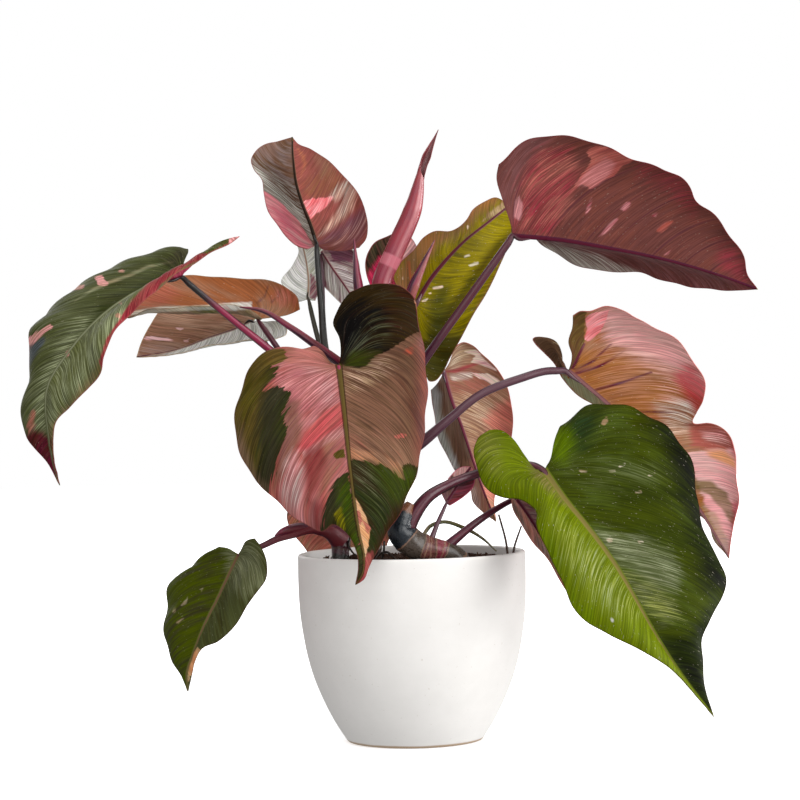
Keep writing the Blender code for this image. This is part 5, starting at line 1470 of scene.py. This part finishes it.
def blade_sheet(leaf, coat):
    """A blade's middle sheet, finer than the solid's: points, triangles and the data to colour it."""
    rib = place(leaf.rib)
    body = int(np.clip(round(run_of(rib)[-1] / MM / RULING_GAP), *RULINGS))
    spine = along(rib, np.linspace(0, 1, body + 1))
    heading = unit(np.gradient(spine, axis=0))
    rows = np.linspace(0, 1, ROWS + 1) ** ROW_POWER
    rib_run = run_of(spine) / MM
    rib_wide = leaf.radii[1] * (RIB_UPPER if leaf.shows == UPPER else RIB_UNDER)
    rib_half = np.interp(rib_run / rib_run[-1], (0, 1), (rib_wide, RIB_THIN))
    keys = ("w", "across", "edge", "spacing", "t", "run")
    verts = [spine]
    blank = np.zeros(body + 1)
    data = {key: [blank] for key in keys}
    data["w"] = [rib_run]
    data["edge"] = [blank + FULL_WIDTH]
    data["spacing"] = [blank + 1.0]
    data["rib_half"] = [rib_half]
    tris = []
    count = body + 1
    for side in (1, -1):
        half = ruled_half(leaf, side, spine, heading, rows)
        roots = half["roots"][:-1]
        grid = np.empty((len(roots), ROWS + 1), int)
        grid[:, 0] = roots
        grid[:, 1:] = count + np.arange(len(roots) * ROWS).reshape(len(roots), ROWS)
        count += len(roots) * ROWS
        verts.append(half["points"][:-1, 1:].reshape(-1, 3))
        for key in keys:
            data[key].append(half[key][:-1, 1:].ravel())
        data["rib_half"].append(np.repeat(rib_half[roots], ROWS))
        here, there = grid[:-1], grid[1:]
        first = np.stack([here[:, :-1], here[:, 1:], there[:, 1:]], axis=2).reshape(-1, 3)
        second = np.stack([here[:, :-1], there[:, 1:], there[:, :-1]], axis=2).reshape(-1, 3)
        second = second[second[:, 0] != second[:, 2]]
        last = np.column_stack([grid[-1, :-1], grid[-1, 1:], np.full(ROWS, body)])
        flat = np.vstack([first, second, last])
        tris.append(flat[:, ::-side * leaf.shows])
    verts = np.vstack(verts)
    tris = np.vstack(tris)
    data = {key: np.concatenate(parts) for key, parts in data.items()}
    # Swell the blade between its side veins and wave its margin
    gap = coat.vein[2]
    sway = VEIN_SWAY * gap * np.sin(data["w"] / gap * VEIN_SWAY_BEAT + leaf.crown)
    phase = (data["w"] + sway) / gap
    beside = np.abs(phase - np.round(phase)) * 2
    t = data["t"]
    pleat = PLEAT * (1 - (1 - beside) ** 2) * np.sqrt(np.clip(4 * t * (1 - t), 0, 1))
    pleat *= np.clip(data["spacing"], 0, 1)
    beat = data["run"] / WAVE_LENGTH * 2 * np.pi + WAVE_SHIFT * np.sign(data["across"])
    wave = WAVE * t ** 3 * np.sin(beat)
    wave *= np.clip(np.abs(data["across"]) / FULL_WIDTH, 0, 1)
    normals = point_normals(verts, tris)
    verts = verts + normals * ((pleat + wave) * MM)[:, None]
    data["phase"] = phase
    return verts, tris, data


def make_blade(name, leaf, coat):
    """Thicken a leaf's sheet, with a groove above its rib and a ridge below."""
    sheet, tris, data = blade_sheet(leaf, coat)
    normals = point_normals(sheet, tris)
    crest = np.exp(-(data["across"] / data["rib_half"]) ** 2)
    size = data["rib_half"] / RIB_FULL
    top = sheet + normals * ((BLADE / 2 - GROOVE * crest * size) * MM)[:, None]
    bottom = sheet - normals * ((BLADE / 2 + RIDGE * crest * size) * MM)[:, None]
    layers = {
        "flow": np.column_stack([data["w"], data["across"], data["edge"]]),
        "span": np.column_stack([data["phase"], coat.vein[2] * data["spacing"], data["rib_half"]]),
    }
    pixels = seen(sheet)
    for index, area in enumerate(coat.areas):
        depth = depth_in_loops(pixels, area.outline) * PIXEL_MM
        if area.half:
            depth = np.minimum(depth, area.half * data["across"] * (1 + 2 * area.soft) + HALF_OVERLAP)
        layers[f"area_{index}"] = depth
    skins = [leaf_material(f"{name}_upper", leaf, coat, leaf.shows == UPPER),
             leaf_material(f"{name}_under", leaf, coat, leaf.shows == LOWER)]
    piece = shell(f"leaf_{name}", top, bottom, tris, skins, layers)
    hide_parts(f"blade_{name}")
    # The way that the ridge stands out at the foot of the rib, where the stalk runs in
    return -normals[0]


def frames_along(centres):
    """For each point of a line, the front-facing and the sideways direction across it."""
    tangent = unit(np.gradient(centres, axis=0))
    toward = np.array([0.0, -1.0, 0.0])
    front = unit(toward - (tangent @ toward)[:, None] * tangent)
    return front, np.cross(tangent, front)


def sweep(name, centres, radius, sides, material, shape, wide=1.0):
    """Sweep a closed section along a line. shape(run, angle) scales the radius."""
    rings = len(centres)
    front, beside = frames_along(centres)
    angle = np.linspace(0, 2 * np.pi, sides, endpoint=False)
    run = run_of(centres) / MM
    size = radius[:, None] * MM * shape(run[:, None], angle[None, :])
    verts = centres[:, None] + front[:, None] * (size * np.cos(angle))[:, :, None] \
        + beside[:, None] * (size * wide * np.sin(angle))[:, :, None]
    flow = np.stack([np.cos(angle) + 0 * size, np.sin(angle) + 0 * size, run[:, None] + 0 * size], axis=2)
    grid = np.arange(rings * sides).reshape(rings, sides)
    here, there = grid[:-1], grid[1:]
    quads = np.stack([here, np.roll(here, -1, axis=1), np.roll(there, -1, axis=1), there], axis=2)
    faces = quads.reshape(-1, 4).tolist()
    first, last = rings * sides, rings * sides + 1
    for i in range(sides):
        k = (i + 1) % sides
        faces.append((first, grid[0, k], grid[0, i]))
        faces.append((last, grid[-1, i], grid[-1, k]))
    verts = np.vstack([verts.reshape(-1, 3), centres[0], centres[-1]])
    flow = np.vstack([flow.reshape(-1, 3), (0, 0, 0), (0, 0, run[-1])])
    return mesh_object(name, verts, faces, [material], data={"flow": flow})


def sample_line(line, radii, rings):
    """Shares of the length, centres and radii of rings evenly spaced along a line of the table."""
    points = place(line)
    share = np.linspace(0, 1, rings)
    knots = run_of(points)
    return share, along(points, share), np.interp(share, knots / knots[-1], radii)


def make_tube(name, line, radii, sides, rings, material, shape, wide=1.0):
    """Sweep a piece along a line of the table."""
    _, centres, radius = sample_line(line, radii, rings)
    return sweep(name, centres, np.maximum(radius, LEAST_RADIUS), sides, material, shape, wide)


def stalk_material(name, colours, change):
    """Streak a stalk along its length, with a painted highlight to the front and painted shade on the
    flanks.
    """
    graph = Graph(name)
    flow = graph.split(graph.read("flow"))
    front, _, run = flow
    streak, fleck = graph.swept_noise("streak", flow), graph.swept_noise("fleck", flow)
    foot, top, flank, third = [linear(c) for c in colours]
    turned_to = graph.plus(front, graph.swing(streak, STALK_SWING))
    main = graph.mix(graph.smooth(run, *change), foot, top)
    # Painted light: the stalk's colour where it faces the front, painted shade on its flanks
    colour = graph.mix(graph.ramp("stalk lit front", turned_to), flank, main)
    colour = graph.mix(graph.ramp("stalk streak", streak), colour, third)
    colour = graph.mix(graph.ramp("stalk fleck", fleck), colour, linear("mauve"))
    height = graph.plus(streak, graph.times(fleck, FLECK_RELIEF))
    return graph.finish(colour, graph.ramp("stalk roughness", streak), height, "stalk")


def grooved(run, angle):
    """A leaf stalk's section: round with a shallow channel on one side."""
    height, length = STALK_SWELL
    channel = np.exp(-((angle - CHANNEL_ANGLE) / CHANNEL_WIDTH) ** 2)
    return (1 + height * np.sin(run / length)) * (1 - CHANNEL_DEPTH * channel)


def make_stalk(name, leaf, below):
    """Sweep a leaf stalk and let it run out under the start of the rib."""
    share = np.linspace(0, 1, STALK_RINGS)
    centres = along(place(leaf.stalk), share)
    foot = STALK_FOOT.get(name, STALK_FOOT_ELSE)
    radius = np.interp(share, (0, 1), leaf.radii) * (1 + foot * np.exp(-(share / STALK_FOOT_SHARE) ** 2))
    sink = below * MM * leaf.radii[1] * np.array(TAIL_SINK)[:, None]
    entry = along(place(leaf.rib), TAIL_SHARES) + sink
    tail_share = np.linspace(0, 1, TAIL_RINGS)
    tail = along(np.vstack([centres[-TAIL_START], centres[-1], entry]), tail_share)
    centres = np.vstack([centres[:-TAIL_START], tail])
    shrink = np.interp(tail_share, *TAIL_SHRINK)
    radius = np.concatenate([radius[:-TAIL_START], leaf.radii[1] * shrink])
    change = STALK_CHANGE.get(name, STALK_CHANGE_ELSE)
    material = stalk_material(f"stalk_{name}", STALK_COLOURS[name], change)
    piece = sweep(f"leafstalk_{name}", centres, radius, STALK_SIDES, material, grooved)
    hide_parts(f"stalk_{name}")


def stem_material(name, colours, zones=()):
    """Give a stem its blotches, its coloured stretches and its joint rings or scars."""
    graph = Graph(name)
    flow = graph.split(graph.read("flow"))
    blotch, grain = graph.swept_noise("blotch", flow), graph.swept_noise("grain", flow)
    main, dark, ring = [linear(c) for c in colours]
    colour = graph.mix(graph.ramp("stem blotch", blotch), dark, main)
    run = graph.plus(flow[2], graph.swing(blotch, STEM_SWING))
    for low, high, tint, cover in zones:
        rise = graph.smooth(run, low - ZONE_FADE, low + ZONE_FADE)
        fall = graph.smooth(run, high - ZONE_FADE, high + ZONE_FADE, cover, 0.0)
        tone = graph.mix(graph.ramp("stem zone", grain), dark, linear(tint))
        colour = graph.mix(graph.times(rise, fall), colour, tone)
    if zones:
        for spot in RING_SPOTS:
            colour = graph.mix(graph.ramp("stem scar", graph.off(run, spot)), colour, ring)
    else:
        beat = graph.math("PINGPONG", run, RING_GAP / 2)
        colour = graph.mix(graph.ramp("stem joint", beat), colour, ring)
    colour = graph.mix(graph.ramp("stem grain", grain), colour, linear("fawn"))
    height = graph.plus(graph.times(grain, GRAIN_RELIEF), blotch)
    return graph.finish(colour, graph.ramp("stem roughness", grain), height, "stem")


def ringed(run, angle):
    """A stem's section: joints stand out a little, and the surface is uneven."""
    beat = np.mod(run + RING_GAP / 2, RING_GAP) - RING_GAP / 2
    joint = np.exp(-(beat / RING_WIDE) ** 2)
    lumps = sum(size * np.sin(times * angle + run / reach) for size, times, reach in STEM_LUMPS)
    return 1 + RING_HEIGHT * joint - RING_SINK + lumps


def keeled(run, angle):
    """A sheath's section: drawn out to a keel at the back."""
    return 1 + KEEL * np.cos(angle - np.pi) ** KEEL_POWER * (np.cos(angle) < 0)


def sheath_material(name, colours):
    """Glossy skin, darker to one side, with lighter clouds and fine lines along it."""
    graph = Graph(name)
    flow = graph.split(graph.read("flow"))
    lines, cloud = graph.swept_noise("lines", flow), graph.swept_noise("sheath cloud", flow)
    main, side, light = [linear(c) for c in colours]
    colour = graph.mix(graph.ramp("sheath side", flow[1]), side, main)
    colour = graph.mix(graph.ramp("sheath cloud", cloud), colour, light)
    colour = graph.mix(graph.ramp("sheath lines", lines), colour, side)
    return graph.finish(colour, graph.ramp("sheath roughness", lines), lines, "sheath")


def roll_material():
    """Cherry skin, duller toward the tip, with painted shade on its left edge, a painted pale sheen and a
    bright ring round its foot.
    """
    graph = Graph("roll_outside")
    flow = graph.split(graph.read("flow"))
    _, beside, run = flow
    lines, cloud = graph.swept_noise("lines", flow), graph.swept_noise("roll cloud", flow)
    colour = graph.mix(graph.ramp("roll cloud", cloud), linear("crimson"), linear("ruby"))
    colour = graph.mix(graph.ramp("roll foot", run), colour, linear("cherry"))
    colour = graph.mix(graph.ramp("roll tip", run), colour, linear("rosewood"))
    # Painted shade down the left edge of the roll
    colour = graph.mix(graph.ramp("roll shaded edge", beside), colour, linear("garnet"))
    # Painted sheen: a pale highlight band right of the middle
    sheen = graph.ramp("roll sheen", graph.off(beside, ROLL_SHEEN))
    sheen = graph.times(sheen, graph.ramp("roll sheen cloud", cloud))
    colour = graph.mix(sheen, colour, linear("petal"))
    wander = graph.plus(run, graph.swing(cloud, ROLL_SWING))
    ring = graph.times(graph.ramp("roll ring start", wander), graph.ramp("roll ring end", wander))
    colour = graph.mix(ring, colour, linear("orchid"))
    return graph.finish(colour, graph.ramp("roll roughness", lines), lines, "roll")


def make_roll():
    """Wind the new leaf into a roll that is closed below and opens to the front near its tip."""
    share, centres, radius = sample_line(*ROLL, ROLL_RINGS)
    radius = radius * np.interp(share, *ROLL_GROWTH)
    front, beside = frames_along(centres)
    first = np.interp(share, *ROLL_FIRST)[:, None]
    last = np.interp(share, *ROLL_LAST)[:, None]
    u = np.linspace(0, 1, ROLL_STEPS)[None, :]
    angle = np.radians(first + u * (last - first))
    size = np.maximum(radius, ROLL_LEAST)[:, None] * MM * (1 - ROLL_INWARD * u)
    most, growth, least = ROLL_SKIN
    skin = np.minimum(most, radius * growth + least)[:, None] * MM

    def layer(size):
        return (centres[:, None] + front[:, None] * (size * np.cos(angle))[:, :, None]
                + beside[:, None] * (size * np.sin(angle))[:, :, None]).reshape(-1, 3)

    grid = np.arange(angle.size).reshape(angle.shape)
    quads = np.stack([grid[:-1, :-1], grid[:-1, 1:], grid[1:, 1:], grid[1:, :-1]], axis=2).reshape(-1, 4)
    run = run_of(centres)[:, None] / MM
    flow = np.stack([np.cos(angle), np.sin(angle), run + 0 * angle], axis=2).reshape(-1, 3)
    skins = [roll_material(), sheath_material("roll_inside", SHEATH_COLOURS["roll_inside"])]
    piece = shell("rolled_leaf", layer(size), layer(size - skin), quads, skins, {"flow": flow}, sharp=40)
    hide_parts("roll")


def make_sheath(piece_name, name, line, radii, wide):
    """Sweep a sheath with a keel; its material's name says its colours."""
    material = sheath_material(name, SHEATH_COLOURS[name])
    return make_tube(piece_name, line, radii, STALK_SIDES, STALK_RINGS, material, keeled, wide)


def make_twig(piece_name, name, kind, line, radii):
    """Sweep a thin root or twig in the colours of its kind."""
    material = stem_material(name, STEM_COLOURS[kind])
    return make_tube(piece_name, line, radii, TWIG_SIDES, TWIG_RINGS, material, ringed)


def pot_material():
    """Matt white glaze with faint mottling, and bare tan clay at the foot."""
    graph = Graph("pot_glaze", GLAZE_SPECULAR)
    spot = graph.where()
    _, _, z = graph.split(spot)
    mottle, grain = graph.noise(spot, *GLAZE_MOTTLE), graph.noise(spot, *GLAZE_GRAIN)
    ripple = graph.noise(graph.vector(0.0, 0.0, graph.times(z, GLAZE_RIPPLES)), 1.0, 2.0, 0.5)
    speck = graph.ramp("glaze speck", graph.noise(spot, *GLAZE_SPECKS))
    colour = graph.mix(graph.ramp("glaze", mottle), *GLAZE)
    colour = graph.mix(speck, colour, GLAZE_SPECK)
    level = graph.plus(z, graph.swing(mottle, GLAZE_SWING))
    colour = graph.mix(graph.ramp("glaze end", level), colour, BARE_CLAY)
    height = graph.plus(graph.times(grain, GLAZE_RELIEF), graph.plus(mottle, ripple))
    return graph.finish(colour, graph.ramp("glaze roughness", grain), height, "glaze")


def make_pot():
    """Turn the pot smoothly from its outer and inner profiles."""
    angle = np.linspace(0, np.pi, RIM_STEPS)
    half = WALL / 2
    rim = np.column_stack([RIM_RADIUS - half + half * np.cos(angle),
                           RIM_HEIGHT - RIM_CROWN + RIM_CROWN * np.sin(angle)])
    edge = BASE_RADIUS + FOOT_SLANT, FOOT_HOLLOW
    outside = along([edge, *POT_OUTSIDE, tuple(rim[0])], np.linspace(0, 1, POT_STEPS))
    inside = along([tuple(rim[-1]), *POT_INSIDE], np.linspace(0, 1, POT_STEPS // 2))
    foot = [(0, FOOT_HOLLOW), (FOOT_INNER, FOOT_HOLLOW), (FOOT_INNER + FOOT_SLANT, 0), (BASE_RADIUS, 0)]
    profile = np.vstack([foot, outside, rim[1:-1], inside, [(0, FLOOR)]])
    verts, faces, _ = turned(profile, POT_SIDES)
    piece = mesh_object("ceramic_pot", verts * MM, faces, [pot_material()], sharp=60)
    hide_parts("pot")


def soil_material(name, dark, light):
    """Dark peat with brown and tan bits."""
    graph = Graph(name, SOIL_SPECULAR)
    spot = graph.where()
    clod, bit = graph.noise(spot, *SOIL_CLODS), graph.noise(spot, *SOIL_BITS)
    colour = graph.mix(graph.ramp("soil clod", clod), linear(dark), linear(light))
    colour = graph.mix(graph.ramp("soil bit", bit), colour, linear("tan"))
    return graph.finish(colour, graph.ramp("soil roughness", bit), graph.plus(clod, bit), "soil")


def soil_height(x, y):
    """The potting mix's uneven top, in mm."""
    dome = SOIL_TOP + SOIL_DOME * np.clip(1 - (np.hypot(x, y) / SOIL_RADIUS) ** 2, 0, 1)
    high, wide, deep, shift = SOIL_LUMPS
    lumps = high * np.sin(x / wide + shift) * np.sin(y / deep)
    high, wide, deep = SOIL_RIPPLES
    return dome + (lumps + high * np.sin(x / wide - y / deep))


def make_soil():
    """Lay an uneven bed of potting mix and strew it with bark chips and crumbs."""
    turn = np.linspace(0, 2 * np.pi, SOIL_SIDES, endpoint=False)
    rings = [(radius, soil_height(radius * np.cos(turn), radius * np.sin(turn)))
             for radius in np.linspace(0, SOIL_RADIUS, SOIL_RINGS)]
    verts, faces, last = turned(rings + list(SOIL_BELOW), SOIL_SIDES, down=True)
    faces.append(last)
    peat = soil_material("peat", "soot", "coffee")
    bed = mesh_object("potting_mix", verts * MM, faces, [peat], sharp=80)
    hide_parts("soil")

    chance = np.random.default_rng(SEED)
    chips, flats = [], []
    for index in range(CHIPS):
        radius = (SOIL_RADIUS - CHIP_MARGIN) * np.sqrt(chance.random())
        turn = chance.random() * 2 * np.pi
        x, y = radius * np.cos(turn), radius * np.sin(turn)
        # Most are small
        size = CHIP_LEAST + (CHIP_MOST - CHIP_LEAST) * chance.random() ** 3
        core = unit(CHIP_SHAPE + CHIP_ROUGH * chance.standard_normal(CHIP_SHAPE.shape))
        spin, _ = np.linalg.qr(chance.standard_normal((3, 3)))
        chip = (core * size * CHIP_FLAT) @ spin
        chips.append(chip + (x, y, soil_height(x, y) + CHIP_LIFT * size))
        flats.extend([[i + index * len(CHIP_SHAPE) for i in face] for face in CHIP_FACES])
    bark = soil_material("bark", "coffee", "bark")
    strewn = mesh_object("bark_chips", np.vstack(chips) * MM, flats, [bark], sharp=30)


def make_floor():
    """Pale floor that glows to white toward its edge."""
    bpy.ops.mesh.primitive_circle_add(vertices=FLOOR_SIDES, radius=FLOOR_RADIUS, fill_type="NGON",
                                      location=(0, 0, FLOOR_Z))
    floor = bpy.context.object
    floor.name = "studio_floor"
    graph = Graph("floor_white", FLOOR_SPECULAR)
    spot = graph.where()
    shade = graph.noise(spot, *FLOOR_NOISE)
    away = graph.node("ShaderNodeVectorMath", "Value", {0: spot}, operation="LENGTH")
    graph.shader.inputs["Emission Color"].default_value = (1, 1, 1, 1)
    graph.feed(graph.shader.inputs["Emission Strength"], graph.ramp("floor glow", away))
    floor.data.materials.append(graph.finish(graph.mix(shade, *FLOOR_SHADES), FLOOR_ROUGHNESS))
    floor.visible_diffuse = False
    floor.visible_glossy = False


def make_studio():
    """Soft lights, white surround and the camera."""
    scene = bpy.context.scene
    for name, (spot, size, power) in LIGHTS.items():
        light = bpy.data.lights.new(name, "AREA")
        light.size = size
        light.energy = power
        lamp = bpy.data.objects.new(name, light)
        lamp.location = spot
        aim = mathutils.Vector(LIGHT_AIM) - mathutils.Vector(spot)
        lamp.rotation_euler = aim.to_track_quat("-Z", "Y").to_euler()
        scene.collection.objects.link(lamp)
    world = bpy.data.worlds.new("studio")
    world.use_nodes = True
    tree = world.node_tree
    back = tree.nodes["Background"]
    back.inputs["Color"].default_value = (1, 1, 1, 1)
    path = tree.nodes.new("ShaderNodeLightPath")
    level = tree.nodes.new("ShaderNodeMapRange")
    level.inputs["To Min"].default_value = WORLD_LIGHT
    level.inputs["To Max"].default_value = WORLD_SEEN
    tree.links.new(path.outputs["Is Camera Ray"], level.inputs["Value"])
    tree.links.new(level.outputs["Result"], back.inputs["Strength"])
    scene.world = world
    scene.view_settings.view_transform = "Standard"
    lens = bpy.data.cameras.new("camera")
    lens.sensor_width = SENSOR_MM
    lens.lens = SENSOR_MM * EYE_DISTANCE / (PIXEL_MM * PICTURE_WIDTH)
    camera = bpy.data.objects.new("camera", lens)
    camera.location = (EYE_X * MM, -EYE_DISTANCE * MM, EYE_Z * MM)
    camera.rotation_euler = (np.pi / 2, np.radians(EYE_LEAN_DEG), 0)
    scene.collection.objects.link(camera)
    scene.camera = camera


def main():
    """Make the studio and every piece of the plant and its pot."""
    make_floor()
    make_studio()
    make_pot()
    make_soil()
    for name, leaf in LEAVES.items():
        below = make_blade(name, leaf, COATS[name])
        make_stalk(name, leaf, below)
    for name, (line, radii) in STEMS.items():
        material = stem_material(f"stem_{name}", STEM_COLOURS[name], STEM_ZONES.get(name, ()))
        piece = make_tube(f"living_stem_{name}", line, radii, STEM_SIDES, STEM_RINGS, material, ringed)
        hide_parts(f"stem_{name}")
    make_roll()
    for name, (line, radii) in SHEATHS.items():
        sheath = make_sheath(f"red_sheath_{name}", f"sheath_{name}", line, radii, SHEATH_WIDE)
        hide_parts(f"sheath_{name}")
    wing = make_sheath("red_sheath_low", "sheath_low", *WING, WING_WIDE)
    for index, (line, radii) in enumerate(ROOTS):
        root = make_twig(f"air_root_{index}", f"root_{index}", "root", line, radii)
    strap = make_sheath("withered_strap", "strap", *STRAP, STRAP_WIDE)
    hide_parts("strap")
    for name, (line, radii) in TWIGS.items():
        twig = make_twig(f"dry_twig_{name}", f"twig_{name}", "twig", line, radii)
        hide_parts(f"twig_{name}")


main()
